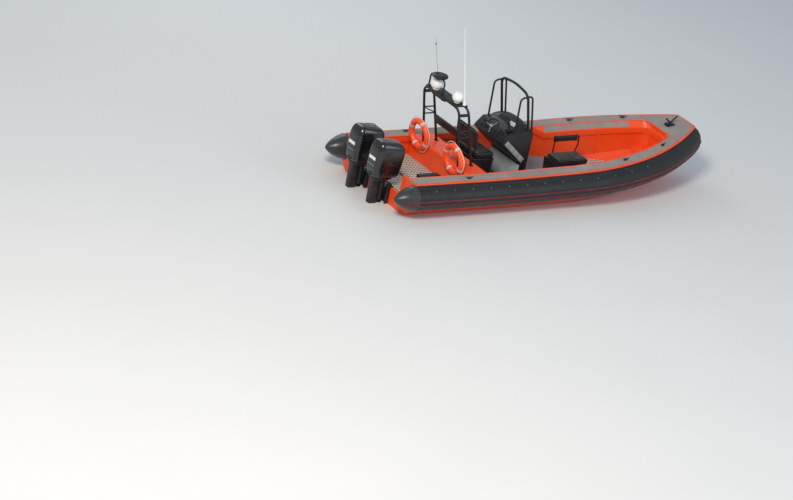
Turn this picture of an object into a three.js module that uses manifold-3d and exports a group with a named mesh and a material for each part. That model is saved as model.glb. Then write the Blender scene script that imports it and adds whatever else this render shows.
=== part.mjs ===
// Inshore rescue boat: a rigid hull with a black D-section collar, two outboards, an equipment arch,
// a helm console with a handrail frame, a helm seat for two and a bench in the forward cockpit.
// Millimetres. +X forward, +Y port, +Z up. The origin is on the centreline at the waterline,
// in the plane of the transom's aft face.

import * as THREE from "three";
import { mergeVertices } from "three/addons/utils/BufferGeometryUtils.js";
import Module from "manifold-3d";

const wasm = await Module();
wasm.setup();

// Driving dimensions
const GAP = 0.3; // left between pieces that touch
const LIP = 30; // the gunwale edge stands this far outside the topside
const COLLAR_HEIGHT = 500;
const CONE_LENGTH = 440;
const DECK_Z = 120; // cockpit floor of the hull
const SOLE_Z = 140; // top of the sole grating
const WELL_Z = 320; // top of the engine well deck
const STEP_Z = 450; // step at the forward end of the cockpit
const STEP_X = 6450;
const TRANSOM_TOP = 330;
const TRANSOM_THICK = 70;
const WELL_HALF = 760; // half-width of the transom cut-out
const LOCKER = { aft: 1360, fore: 1850, half: 920, top: 750 };
const BAND = 130; // height of the coaming band
const COAMING = 30; // the lining is set back this far under the band
const PAD = 6; // thickness of the anti-slip pads
const ARCH = {
  y: 600, top: 1950, tube: 22, bend: 170, aftTop: 1120, foreTop: 1340, aftFoot: 1393, foreFoot: 1700,
};
const PANEL = { middle: 1232, height: 180, thick: 40 }; // cross panel between the arch's legs
const TRAY = { half: 530, top: 1984 };
const CONSOLE = { half: 500, front: 3200, corner: 120 };
const SEAT_HALF = 330;
const ENGINE_Y = 360; // each outboard's distance from the centreline
const TILT = { x: -45, z: 400 };
const STEER_X = -150;
const SHAFT_Z = -695;

// Hull frames from the transom to the bow. turn is the gunwale's outward normal, in degrees
// from the beam towards the bow; walk is the side deck's width, bulge the collar's.
const FRAMES = [
  // x, half, top, turn, walk, keelX, keelZ, chineX, chineY, chineZ, bulge
  [0, 1225, 720, 0, 300, 0, -450, 0, 955, -40, 262],
  [2200, 1225, 720, 0, 300, 2200, -450, 2200, 955, -40, 262],
  [4000, 1212, 748, 3, 300, 4000, -440, 4000, 940, -15, 262],
  [4750, 1180, 784, 7, 298, 4750, -412, 4750, 895, 20, 262],
  [5400, 1093, 840, 11, 292, 5350, -345, 5380, 800, 90, 262],
  [5940, 967, 900, 16, 284, 5850, -240, 5900, 665, 175, 262],
  [6330, 834, 952, 21, 275, 6210, -120, 6270, 525, 262, 260],
  [6730, 664, 1015, 25, 262, 6560, 30, 6650, 370, 365, 255],
  [7050, 500, 1075, 29, 250, 6820, 190, 6940, 230, 460, 245],
  [7300, 347, 1128, 37, 250, 7010, 340, 7140, 120, 540, 225],
  [7362, 292, 1141, 60, 250, 7070, 425, 7190, 80, 570, 200],
  [7380, 235, 1145, 80, 250, 7110, 490, 7220, 45, 588, 175],
].map(([x, half, top, turn, walk, keelX, keelZ, chineX, chineY, chineZ, bulge]) => ({
  x, half, top, turn, walk, keelX, keelZ, chineX, chineY, chineZ, bulge,
}));

// Finishes: colour, roughness, metalness
const FINISHES = {
  orange: [0xe4441a, 0.45, 0],
  black: [0x1b1d20, 0.6, 0],
  collar: [0x24282c, 0.65, 0],
  cone: [0x3c4144, 0.6, 0],
  maroon: [0x6a1c22, 0.6, 0],
  grey: [0x8d8885, 0.85, 0],
  grating: [0xb9b7b2, 0.7, 0],
  white: [0xf0f0ee, 0.4, 0],
  lifebuoy: [0xff4a20, 0.5, 0],
  cushion: [0x17181c, 0.75, 0],
  engine: [0x16181c, 0.3, 0.2],
};

const boat = new THREE.Group();
const radians = THREE.MathUtils.degToRad;
const port = (p) => p;
const starboard = (p) => [p[0], -p[1], p[2]];
const SIDES = [["port", 1, port], ["starboard", -1, starboard]];

function node(name, finishName, solid) {
  const [color, roughness, metalness] = FINISHES[finishName];
  const mesh = new THREE.Mesh(
    toGeometry(solid),
    new THREE.MeshStandardMaterial({ color, roughness, metalness }),
  );
  mesh.name = name;
  boat.add(mesh);
}

function toSolid(geometry) {
  const bare = new THREE.BufferGeometry();
  bare.setAttribute("position", geometry.getAttribute("position"));
  if (geometry.index) bare.setIndex(geometry.index);
  const merged = mergeVertices(bare, 1e-3);
  const vertProperties = merged.attributes.position.array;
  const triVerts = new Uint32Array(merged.index.array);
  const solid = new wasm.Manifold(new wasm.Mesh({ numProp: 3, vertProperties, triVerts }));
  if (solid.volume() >= 0) return solid;
  for (let i = 0; i < triVerts.length; i += 3) {
    [triVerts[i + 1], triVerts[i + 2]] = [triVerts[i + 2], triVerts[i + 1]];
  }
  return new wasm.Manifold(new wasm.Mesh({ numProp: 3, vertProperties, triVerts }));
}

function toGeometry(solid) {
  const mesh = solid.getMesh();
  return new THREE.BufferGeometry()
    .setAttribute("position", new THREE.BufferAttribute(mesh.vertProperties, 3))
    .setIndex(new THREE.BufferAttribute(mesh.triVerts, 1));
}

function join(...solids) {
  return solids.flat().reduce((sum, solid) => sum.add(solid));
}

// A piece cut to rest on its carrier, a little above it.
function seatOn(piece, carrier) {
  return piece.subtract(carrier).subtract(carrier.translate(0, 0, GAP));
}

// A box from its low and high corners.
function block([x0, y0, z0], [x1, y1, z1]) {
  const geometry = new THREE.BoxGeometry(x1 - x0, y1 - y0, z1 - z0);
  return toSolid(geometry.translate((x0 + x1) / 2, (y0 + y1) / 2, (z0 + z1) / 2));
}

// A round bar or cone between two points.
function bar(from, to, radius, endRadius = radius, sides = 12) {
  const start = new THREE.Vector3(...from);
  const along = new THREE.Vector3(...to).sub(start);
  const geometry = new THREE.CylinderGeometry(endRadius, radius, along.length(), sides);
  geometry.translate(0, along.length() / 2, 0);
  const turn = new THREE.Quaternion().setFromUnitVectors(new THREE.Vector3(0, 1, 0), along.normalize());
  return toSolid(geometry.applyQuaternion(turn).translate(...from));
}

// A path that runs through its points, with one extrusion step to each.
class PointPath extends THREE.Curve {
  constructor(points) {
    super();
    this.points = points;
  }

  getPoint(t, target = new THREE.Vector3()) {
    const last = this.points.length - 1;
    const i = Math.min(Math.max(Math.floor(t * last), 0), last - 1);
    return target.copy(this.points[i]).lerp(this.points[i + 1], t * last - i);
  }

  getUtoTmapping(u) {
    return u;
  }
}

// A tube through corner points, each inner corner rounded from `bend` before it to `bend` after.
function bentTube(corners, radius, bend, sides = 8, arcSteps = 4) {
  const at = corners.map((p) => new THREE.Vector3(...p));
  const points = [at[0]];
  for (let i = 1; i < at.length - 1; i++) {
    const before = at[i - 1].clone().sub(at[i]).setLength(bend).add(at[i]);
    const after = at[i + 1].clone().sub(at[i]).setLength(bend).add(at[i]);
    points.push(...new THREE.QuadraticBezierCurve3(before, at[i], after).getPoints(arcSteps));
  }
  points.push(at[at.length - 1]);
  const section = new THREE.Shape();
  for (let i = 0; i < sides; i++) {
    const angle = (i / sides) * 2 * Math.PI;
    section[i ? "lineTo" : "moveTo"](radius * Math.cos(angle), radius * Math.sin(angle));
  }
  const steps = points.length - 1;
  const extrudePath = new PointPath(points);
  return toSolid(new THREE.ExtrudeGeometry(section, { steps, extrudePath, bevelEnabled: false }));
}

function extruded(points, depth, bevel) {
  const shape = new THREE.Shape(points.map(([a, b]) => new THREE.Vector2(a, b)));
  return new THREE.ExtrudeGeometry(shape, {
    depth: depth - 2 * bevel,
    bevelEnabled: bevel > 0,
    bevelThickness: bevel,
    bevelSize: bevel,
    bevelOffset: -bevel,
    bevelSegments: 3,
  }).translate(0, 0, bevel);
}

// A side profile of (x, z) points, extruded across the boat from y = low to y = high.
function acrossProfile(profile, low, high, bevel = 0) {
  return toSolid(extruded(profile, high - low, bevel).rotateX(Math.PI / 2).translate(0, high, 0));
}

// A plan of (x, y) points, extruded upwards.
function upProfile(plan, low, high, bevel = 0) {
  return toSolid(extruded(plan, high - low, bevel).translate(0, 0, low));
}

// A body turned about the X axis, from (x, radius) points.
function alongLathe(profile, y, z, sides = 16) {
  const geometry = new THREE.LatheGeometry(profile.map(([x, r]) => new THREE.Vector2(r, x)), sides);
  return toSolid(geometry.rotateZ(-Math.PI / 2).translate(0, y, z));
}

// A body turned about the Z axis, from (radius, z) points.
function uprightLathe(profile, x, y, sides = 20) {
  const geometry = new THREE.LatheGeometry(profile.map(([r, z]) => new THREE.Vector2(r, z)), sides);
  return toSolid(geometry.rotateX(Math.PI / 2).translate(x, y, 0));
}

// A closed skin through rings of equally many points. Its end caps are triangulated on two axes.
function loft(rings, capAxes = [1, 2]) {
  const count = rings[0].length;
  const triangles = [];
  for (let r = 0; r < rings.length - 1; r++) {
    for (let i = 0; i < count; i++) {
      const a = r * count + i;
      const b = r * count + ((i + 1) % count);
      triangles.push(a, b, b + count, a, b + count, a + count);
    }
  }
  for (const r of [0, rings.length - 1]) {
    const outline = rings[r].map((p) => new THREE.Vector2(p[capAxes[0]], p[capAxes[1]]));
    const turned = THREE.ShapeUtils.isClockWise(outline) !== (r === 0);
    for (const [a, b, c] of THREE.ShapeUtils.triangulateShape(outline, [])) {
      triangles.push(r * count + a, r * count + (turned ? c : b), r * count + (turned ? b : c));
    }
  }
  const geometry = new THREE.BufferGeometry();
  geometry.setAttribute("position", new THREE.Float32BufferAttribute(rings.flat(2), 3));
  return toSolid(geometry.setIndex(triangles));
}

// A level rounded rectangle. slope raises its aft end.
function pillRing({ z, aft, fore, half, corner = half * 0.5, slope = 0 }) {
  const arc = [15, 45, 75].map(radians);
  const quarter = arc.map((a) => [1 - Math.cos(a), 1 - Math.sin(a)]);
  const middle = (aft + fore) / 2;
  const points = [
    ...quarter.map(([u, v]) => [fore - u * corner, half - v * corner]),
    ...quarter.map(([u, v]) => [aft + u * corner, half - v * corner]).reverse(),
    ...quarter.map(([u, v]) => [aft + u * corner, -half + v * corner]),
    ...quarter.map(([u, v]) => [fore - u * corner, -half + v * corner]).reverse(),
  ];
  return points.map(([x, y]) => [x, y, z - slope * (x - middle)]);
}

function pillLoft(sections) {
  return loft(sections.map(pillRing), [0, 1]);
}

// A row of a table, interpolated where its `key` column reaches `at`.
function between(table, key, at) {
  const i = Math.max(1, table.findIndex((row) => row[key] >= at));
  const [low, high] = [table[i - 1], table[i]];
  const t = (at - low[key]) / (high[key] - low[key]);
  return Object.fromEntries(Object.keys(low).map((k) => [k, low[k] + (high[k] - low[k]) * t]));
}

// A point set inboard of a frame's gunwale edge (outboard, if negative), square to that edge.
function inboard(frame, distance, z) {
  const turn = radians(frame.turn);
  return [frame.x - distance * Math.sin(turn), frame.half - distance * Math.cos(turn), z];
}

// Hull: V bottom, chine, topside behind the collar, and the gunwale lip.
function hullRing(f) {
  const side = [
    [f.chineX, f.chineY, f.chineZ],
    inboard(f, LIP, f.top - LIP - COLLAR_HEIGHT),
    inboard(f, LIP, f.top - LIP),
    inboard(f, 0, f.top - LIP),
    inboard(f, 0, f.top),
  ];
  return [[f.keelX, 0, f.keelZ], ...side, ...side.map(starboard).reverse()];
}

// Height of the hull's outside at a distance from the centreline.
function bottomZ(x, y) {
  const { keelZ } = between(FRAMES, "keelX", x);
  const { chineY, chineZ } = between(FRAMES, "chineX", x);
  if (y < chineY) return keelZ + ((chineZ - keelZ) * y) / chineY;
  const { half, top } = between(FRAMES, "x", x);
  const side = { y: half - LIP, z: top - LIP - COLLAR_HEIGHT };
  return chineZ + ((side.z - chineZ) * (y - chineY)) / (side.y - chineY);
}

// Cockpit stations. The sloping inner edge starts forward of the helm; narrow rounds the bow end.
const STATIONS = [
  // x, floor height, width and drop of the sloping edge, narrowing
  [TRANSOM_THICK, DECK_Z, 1, 1],
  [2200, DECK_Z, 1, 1],
  [4000, DECK_Z, 1, 1],
  [4300, DECK_Z, 1, 1],
  [4500, DECK_Z, 100, 1],
  [4750, DECK_Z, 100, 1],
  [5400, DECK_Z, 100, 1],
  [5940, DECK_Z, 100, 1],
  [6330, DECK_Z, 100, 1],
  [STEP_X, DECK_Z, 100, 1],
  [STEP_X - 1, STEP_Z, 100, 1],
  [6580, STEP_Z, 100, 1],
  [6650, STEP_Z, 100, 0.9],
  [6690, STEP_Z, 100, 0.68],
].map(([x, floor, slope, narrow]) => {
  const f = between(FRAMES, "x", x);
  const edge = (f.half - f.walk / Math.cos(radians(f.turn))) * narrow;
  const band = edge - slope;
  const lining = band + COAMING;
  let foot = 0;
  while (foot < lining && bottomZ(x, foot + 5) < floor - 70) foot += 5;
  const knee = Math.max(floor + 20, bottomZ(x, lining) + 100);
  return { x, floor, foot: Math.min(foot, lining), knee, lining, band, slope, edge, top: f.top };
});
const COCKPIT = STATIONS.filter((s) => s.floor === DECK_Z);
const BOW_STEP = STATIONS.filter((s) => s.floor === STEP_Z);

function cockpitRing(s) {
  const side = [
    [s.x, s.foot, s.floor],
    [s.x, s.lining, s.knee],
    [s.x, s.lining, s.top - s.slope - BAND],
    [s.x, s.band, s.top - s.slope - BAND],
    [s.x, s.band, s.top - s.slope],
    [s.x, s.edge, s.top],
    [s.x, s.edge, s.top + 300],
  ];
  return [...side, ...side.map(starboard).reverse()];
}

function hullSolid() {
  const space = join(loft(COCKPIT.map(cockpitRing)), loft(BOW_STEP.map(cockpitRing)));
  const cutOut = block([-10, -WELL_HALF, TRANSOM_TOP], [TRANSOM_THICK + 20, WELL_HALF, 1200]);
  return loft(FRAMES.map(hullRing)).subtract(space).subtract(cutOut);
}

// Collar: a D-section that bulges out from the topside and runs round the bow.
function collarPoint(f, degrees, proud) {
  const angle = radians(degrees);
  const middle = f.top - LIP - COLLAR_HEIGHT / 2;
  const out = (f.bulge + proud) * Math.cos(angle);
  const up = (COLLAR_HEIGHT / 2 - GAP + proud) * Math.sin(angle);
  return inboard(f, LIP - GAP - out, middle + up);
}

function roundTheBow(section) {
  const astern = FRAMES.map(section);
  return loft([...astern.map((ring) => ring.map(starboard)), ...astern.reverse()]);
}

function collarSolid(proud = 0) {
  const angles = [-90, -65, -45, -22, 0, 25, 50, 70, 90];
  return roundTheBow((f) => angles.map((degrees) => collarPoint(f, degrees, proud)));
}

const STRAKES = [
  // name, angle above the collar's middle, half its spread, how far it stands proud
  ["strake_upper", 4, 4, 16],
  ["strake_lower", -16, 3.5, 14],
];

function makeHullAndCollar(hull) {
  node("hull", "orange", hull);
  const collar = collarSolid();
  node("collar", "collar", collar);
  const grown = collarSolid(0.6);
  for (const [name, degrees, spread, proud] of STRAKES) {
    const strake = roundTheBow((f) => [
      collarPoint(f, degrees - spread, -12),
      collarPoint(f, degrees - spread, proud),
      collarPoint(f, degrees + spread, proud),
      collarPoint(f, degrees + spread, -12),
    ]);
    node(name, "maroon", strake.subtract(grown));
  }
  const [aftFrame] = FRAMES;
  const profile = [
    // distance ahead of the tip, radius
    [0, 0],
    [22, 42],
    [110, 118],
    [250, 192],
    [360, 232],
    [CONE_LENGTH - GAP, 249],
    [CONE_LENGTH - GAP, 0],
  ].map(([x, r]) => [x - CONE_LENGTH, r]);
  for (const [side, sign] of SIDES) {
    const y = sign * (aftFrame.half - LIP + 12);
    const z = aftFrame.top - LIP - COLLAR_HEIGHT / 2;
    node("cone_" + side, "cone", alongLathe(profile, y, z, 20));
  }
}

// Anti-slip pads on the side decks, the bow and the sloping inner edges.
function makePads(hull) {
  const slab = loft(
    FRAMES.map((f) => {
      const side = [[f.x, f.half + 60, f.top + GAP], [f.x, f.half + 60, f.top + PAD]];
      return [...side, ...side.map(starboard).reverse()];
    }),
  );
  const padEnd = 6705;
  const strip = FRAMES.filter((f) => f.x < padEnd);
  const outer = [...strip, between(FRAMES, "x", padEnd)].map((f) => inboard(f, 35, 0));
  outer[0][0] = 20;
  const inner = [...COCKPIT, ...BOW_STEP.slice(1)].map((s) => [s.x, s.edge + 22, 0]);
  inner[0][0] = 20;
  inner.push([outer[outer.length - 1][0], inner[inner.length - 1][1], 0]);
  const bowOuter = [between(FRAMES, "x", padEnd + 18), ...FRAMES.filter((f) => f.x > padEnd + 18)];
  const bowSide = bowOuter.map((f) => inboard(f, 35, 0));
  const bow = slab.intersect(upProfile([...bowSide, ...bowSide.map(starboard).reverse()], 700, 1300));
  node("bow_pad", "grey", bow);
  const plan = [...outer, ...inner.reverse()];
  for (const [side, , place] of SIDES) {
    node("walkway_" + side, "grey", slab.intersect(upProfile(plan.map(place), 600, 1300)));
    const edge = STATIONS.filter((s) => s.x >= 4500 && s.x <= 6330).map((s) => [
      [s.x, s.edge - 6, s.top - 10],
      [s.x, s.edge - 6, s.top - 6 + PAD],
      [s.x, s.edge - 92, s.top - 92 + PAD],
      [s.x, s.edge - 92, s.top - 96],
    ]);
    node("edge_pad_" + side, "grey", seatOn(loft(edge.map((ring) => ring.map(place))), hull));
  }
}

// Sole grating, the raised deck of the engine well, the locker that carries the arch, and a box
// that stands at the starboard side of the well.
function makeDecks() {
  const soleEnds = [LOCKER.fore + 5, STEP_X - 20].map((x) => between(COCKPIT, "x", x));
  const middle = COCKPIT.filter((s) => s.x > soleEnds[0].x && s.x < soleEnds[1].x);
  const sole = [soleEnds[0], ...middle, soleEnds[1]].map((s) => {
    const side = [[s.x, s.foot - 2, DECK_Z + GAP], [s.x, s.foot - 2, SOLE_Z]];
    return [...side, ...side.map(starboard).reverse()];
  });
  node("sole", "grating", loft(sole));
  const wellHalf = COCKPIT[0].lining - 4;
  const wellEnds = [TRANSOM_THICK + GAP, LOCKER.aft - GAP];
  node("well_deck", "grating", block([wellEnds[0], -wellHalf, DECK_Z + GAP], [wellEnds[1], wellHalf, WELL_Z]));
  const { aft, fore, half, top } = LOCKER;
  const low = DECK_Z + GAP;
  const side = [[aft, low], [aft, top - 30], [aft + 30, top], [fore - 20, top], [fore, top - 20], [fore, low]];
  node("aft_locker", "orange", acrossProfile(side, -half, half));
  node("well_box", "black", block([330, -900, WELL_Z + GAP], [800, -750, 730]));
}

// Arch: an aft and a fore hoop with rungs between their legs, standing on the locker.
function archHoop(top, foot, radius) {
  const { y, bend } = ARCH;
  const low = LOCKER.top + GAP;
  return bentTube([[foot, y, low], [top, y, ARCH.top], [top, -y, ARCH.top], [foot, -y, low]], radius, bend);
}

function archSolid(radius) {
  const legX = (top, foot, z) => foot + ((top - foot) * (z - LOCKER.top)) / (ARCH.top - LOCKER.top);
  const aftX = (z) => legX(ARCH.aftTop, ARCH.aftFoot, z);
  const foreX = (z) => legX(ARCH.foreTop, ARCH.foreFoot, z);
  const sides = [ARCH.y, -ARCH.y].flatMap((y) => [
    bar([aftX(1480), y, 1480], [foreX(1480), y, 1480], 14, 14, 8),
    bar([aftX(1340), y, 1340], [foreX(1340), y, 1340], 14, 14, 8),
    bar([aftX(1470), y, 1470], [foreX(1350), y, 1350], 11, 11, 8),
    acrossProfile(
      [[aftX(1780), 1780], [foreX(1780), 1780], [foreX(1850), 1850], [aftX(1850), 1850]], y - 9, y + 9,
    ),
    bar([aftX(LOCKER.top), y, LOCKER.top + GAP], [aftX(LOCKER.top), y, LOCKER.top + 12], 32, 32),
    bar([foreX(LOCKER.top), y, LOCKER.top + GAP], [foreX(LOCKER.top), y, LOCKER.top + 12], 45, 45),
  ]);
  const bendEnd = ARCH.y - ARCH.bend;
  const beams = [-bendEnd, bendEnd].map((y) =>
    bar([ARCH.aftTop, y, ARCH.top], [ARCH.foreTop, y, ARCH.top], 16, 16, 8),
  );
  const hoops = [archHoop(ARCH.aftTop, ARCH.aftFoot, radius), archHoop(ARCH.foreTop, ARCH.foreFoot, radius)];
  return join(hoops, sides, beams).trimByPlane([0, 0, 1], LOCKER.top + GAP);
}

function makeArch() {
  const grown = archSolid(ARCH.tube + GAP);
  node("arch_frame", "black", archSolid(ARCH.tube));

  const rake = Math.atan2(ARCH.foreFoot - ARCH.foreTop, ARCH.top - LOCKER.top);
  const panel = toSolid(
    new THREE.BoxGeometry(PANEL.thick, 2 * ARCH.y - 20, PANEL.height)
      .rotateY(-rake)
      .translate(ARCH.foreTop + (ARCH.top - PANEL.middle) * Math.tan(rake), 0, PANEL.middle),
  );
  node("arch_panel", "black", panel.subtract(grown));
  const trayLow = [ARCH.aftTop - 24, -TRAY.half, ARCH.top + 8];
  const tray = block(trayLow, [ARCH.foreTop + 24, TRAY.half, TRAY.top]);
  node("arch_tray", "black", tray.subtract(grown));

  const low = TRAY.top + GAP;
  const hoopAt = (radius) =>
    bentTube([[1150, 505, low], [1150, 505, 2250], [1150, 30, 2250], [1150, 30, low]], radius, 90);
  node("lamp_hoop", "black", hoopAt(17));
  const disc = uprightLathe([[0, 2255], [100, 2255], [155, 2280], [160, 2300], [143, 2322], [0, 2330]], 1140, 210);
  node("disc_antenna", "black", disc.subtract(hoopAt(17 + GAP)));
  const domes = [
    // name, x, y, size
    ["dome_port", 1175, 295, 1],
    ["dome_starboard", 1225, -350, 0.9],
  ];
  for (const [name, x, y, size] of domes) {
    const dome = [[0, 0], [70, 0], [70, 22], [105, 50], [122, 110], [115, 165], [85, 210], [40, 232], [0, 236]];
    node(name, "white", uprightLathe(dome.map(([r, z]) => [r * size, low + z * size]), x, y));
  }
  const mastY = -495;
  const mast = join(
    bar([1300, mastY, low], [1300, mastY, low + 60], 34, 34),
    bar([1300, mastY, low + 40], [1250, mastY, low + 240], 22, 18, 10),
    bar([1252, mastY, low + 230], [905, mastY, 3600], 15, 7, 8),
  );
  node("mast_antenna", "white", mast);
  const whipY = 264;
  const whip = join(
    bar([1112, whipY, 2318], [1107, whipY, 2352], 16, 12, 8),
    bar([1108, whipY, 2345], [872, whipY, 3085], 5, 4, 6),
    toSolid(new THREE.SphereGeometry(16, 8, 6).translate(917, whipY, 2945)),
  );
  node("whip_antenna", "black", whip.subtract(disc.translate(0, 0, GAP)).subtract(disc));
}

// Lifebuoys hung on the arch's aft legs, resting against the locker.
function makeLifebuoys() {
  const top = { x: 1215, z: 1160 };
  const foot = { x: 1300.4, z: 642 };
  const rake = Math.atan2(foot.x - top.x, top.z - foot.z);
  for (const [side, sign] of SIDES) {
    const ring = new THREE.TorusGeometry(262, 60, 8, 24).rotateY(Math.PI / 2).rotateY(-rake);
    ring.translate((top.x + foot.x) / 2, sign * (ARCH.y - 5), (top.z + foot.z) / 2);
    node("lifebuoy_" + side, "lifebuoy", toSolid(ring));
  }
}

// Helm: console with a hood, handrail frame, wheel, and a seat for two behind it.
const DASH = { low: [2470, 1130], high: [2620, 1290] };

function makeConsole() {
  const low = SOLE_Z + GAP;
  const side = [
    [2980, low], [2990, 640], [2450, 1080], DASH.low, DASH.high, [2790, 1370], [2850, 1500],
    [2960, 1545], [3080, 1500], [3160, 1350], [3195, 1150], [CONSOLE.front, low],
  ];
  const { half, front, corner } = CONSOLE;
  const bow = [-90, -60, -30, 0].map((degrees) => {
    const angle = radians(degrees);
    return [front - corner * (1 - Math.cos(angle)), -half + corner * (1 + Math.sin(angle))];
  });
  const plan = [[2300, -half], ...bow, ...bow.map(([x, y]) => [x, -y]).reverse(), [2300, half]];
  const box = acrossProfile(side, -half - 10, half + 10).intersect(upProfile(plan, 0, 1700));
  node("console", "black", box);

  const rail = 450;
  const sideHoops = [rail, -rail].map((y) =>
    bentTube([[2715, y, 1250], [2680, y, 2030], [2950, y, 2070], [3130, y, 1250]], 17, 85),
  );
  const acrossHoop = bentTube(
    [[3000, -rail, 1450], [2830, -rail, 2105], [2830, 0, 2165], [2830, rail, 2105], [3000, rail, 1450]],
    22,
    150,
  );
  node("handrail_frame", "black", seatOn(join(sideHoops, acrossHoop), box));
}

function makeWheel() {
  const slope = Math.atan2(DASH.high[1] - DASH.low[1], DASH.high[0] - DASH.low[0]);
  const spokes = [90, 210, 330].map((degrees) => {
    const angle = radians(degrees);
    return bar([0, 0, -12], [155 * Math.cos(angle), 155 * Math.sin(angle), 0], 11, 9, 8);
  });
  const wheel = join(
    toSolid(new THREE.TorusGeometry(160, 13, 8, 24)),
    bar([0, 0, -98], [0, 0, -20], 28, 34),
    bar([0, 0, -30], [0, 0, 14], 44, 36),
    spokes,
  );
  const turned = toSolid(toGeometry(wheel).rotateY(-slope));
  const [x, z] = [(DASH.low[0] + DASH.high[0]) / 2, (DASH.low[1] + DASH.high[1]) / 2];
  const reach = 106;
  node("steering_wheel", "black", turned.translate(x - reach * Math.sin(slope), 0, z + reach * Math.cos(slope)));
}

function makeSeat() {
  const low = SOLE_Z + GAP;
  const top = 740;
  const base = [[2000, low], [1960, top - 120], [1955, top], [2450, top], [2440, top - 60], [2400, low]];
  node("seat_base", "black", acrossProfile(base, -SEAT_HALF, SEAT_HALF));
  const cushion = [[2006, top + GAP], [2455, top + GAP], [2455, top + 115], [2006, top + 115]];
  node("seat_cushion", "cushion", acrossProfile(cushion, -SEAT_HALF, SEAT_HALF, 22));
  const rail = SEAT_HALF - 20;
  const frame = [[1982, rail, top + GAP], [1885, rail, 1330], [1885, -rail, 1330], [1982, -rail, top + GAP]];
  const loop = (radius) => bentTube(frame, radius, 90);
  node("seat_frame", "black", loop(16).trimByPlane([0, 0, 1], top + GAP));
  const back = [[1950, 925], [2020, 925], [1958, 1295], [1888, 1295]];
  node("seat_back", "cushion", acrossProfile(back, -SEAT_HALF, SEAT_HALF, 18).subtract(loop(16 + GAP)));
}

// Bench in the forward cockpit, with a backrest along its port side.
function makeBench() {
  const low = SOLE_Z + GAP;
  const top = 440;
  node("bench_base", "black", acrossProfile([[4190, low], [4160, top], [4880, top], [4850, low]], -250, 250));
  const cushion = [[4150, top + GAP], [4890, top + GAP], [4890, 550], [4150, 550]];
  node("bench_cushion", "cushion", acrossProfile(cushion, -262, 190, 20));
  const roll = [[4290, 745], [4890, 745], [4890, 890], [4290, 890]];
  const posts = [4330, 4855].map((x) => bar([x, 222, top + GAP], [x, 222, 800], 14, 14, 8));
  node("bench_back", "cushion", join(posts, acrossProfile(roll, 190, 255, 20)));
}

// Bow bitt: a plate with two horns that part fore and aft.
function makeBitt() {
  const x = 6960;
  const z = between(FRAMES, "x", x).top + PAD;
  const plate = upProfile([[x - 90, -60], [x + 90, -60], [x + 90, 60], [x - 90, 60]], z - 30, z + 34);
  const horns = join(
    bar([x, 0, z], [x, 0, z + 70], 34, 28),
    bar([x, 0, z + 50], [x + 150, 0, z + 185], 20, 15, 10),
    bar([x, 0, z + 50], [x - 130, 0, z + 150], 20, 15, 10),
  );
  const deck = loft(
    FRAMES.map((f) => {
      const side = [[f.x, f.half, 0], [f.x, f.half, f.top + PAD]];
      return [...side, ...side.map(starboard).reverse()];
    }),
  );
  node("bow_bitt", "black", seatOn(join(plate, horns), deck));
}

// Outboards, built on their own centreline and then placed to each side.
function clampSolid() {
  const plate = [[-30, -60], [-GAP, -60], [-GAP, TRANSOM_TOP + GAP], [60, TRANSOM_TOP + GAP], [60, 350], [-30, 350]];
  const ear = [[-78, -20], [-20, -60], [-20, 352], [-GAP, 352], [-14, 425], [-45, 434], [-76, 425], [-85, 380]];
  const eyes = [1, -1].map((s) => bar([TILT.x, s * 98, TILT.z], [TILT.x, s * 134, TILT.z], 40, 40, 16));
  return join(acrossProfile(plate, -124, 124), acrossProfile(ear, 98, 124), acrossProfile(ear, -124, -98), eyes);
}

function swivelSolid() {
  const web = [[-150, 95], [-75, 95], [-45, 180], [-45, 425], [-150, 435]];
  return join(
    bar([TILT.x, -91, TILT.z], [TILT.x, 91, TILT.z], 34, 34, 16),
    bar([STEER_X, 0, 62], [STEER_X, 0, 448], 56, 56, 20),
    acrossProfile(web, -48, 48),
    acrossProfile([[-115, 330], [-45, 330], [-45, 430], [-115, 430]], -88, 88),
  );
}

function legSolid() {
  const apron = pillLoft([
    { z: 474, aft: -400, fore: -60, half: 95 },
    { z: 510, aft: -425, fore: -30, half: 130 },
    { z: 559.7, aft: -425, fore: 45, half: 140 },
  ]);
  const housing = pillLoft([
    { z: -425, aft: -430, fore: -232, half: 52 },
    { z: -250, aft: -395, fore: -230, half: 58 },
    { z: 200, aft: -402, fore: -222, half: 74 },
    { z: 500, aft: -412, fore: -222, half: 82 },
  ]);
  const plate = pillLoft([
    { z: -484, aft: -625, fore: -205, half: 125 },
    { z: -468, aft: -625, fore: -205, half: 125 },
  ]);
  const strut = [
    [-440, -415], [-232, -415], [-205, -475], [-222, -690], [-560, -690], [-590, -520], [-600, -476],
  ];
  const torpedo = [
    // x, radius
    [-602, 0], [-602, 50], [-500, 62], [-320, 62], [-235, 52], [-185, 28], [-168, 0],
  ];
  const skeg = [[-250, -730], [-290, -820], [-400, -985], [-470, -1000], [-500, -960], [-520, -730]];
  return join(
    apron,
    housing,
    plate,
    acrossProfile(strut, -26, 26, 10),
    alongLathe(torpedo, 0, SHAFT_Z, 16),
    acrossProfile(skeg, -9, 9),
    block([-260, -44, -20], [-108, 44, 50]),
    bar([STEER_X, 0, 40], [STEER_X, 0, 54], 40, 40),
  );
}

function cowlSolid() {
  return pillLoft([
    { z: 560, aft: -430, fore: 55, half: 148, corner: 90 },
    { z: 592, aft: -462, fore: 92, half: 188, corner: 100 },
    { z: 760, aft: -492, fore: 128, half: 205, corner: 110 },
    { z: 1000, aft: -488, fore: 150, half: 206, corner: 110, slope: 0.03 },
    { z: 1140, aft: -470, fore: 146, half: 196, corner: 105, slope: 0.08 },
    { z: 1222, aft: -428, fore: 112, half: 168, corner: 95, slope: 0.13 },
    { z: 1256, aft: -380, fore: 62, half: 120, corner: 80, slope: 0.15 },
  ]);
}

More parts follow.
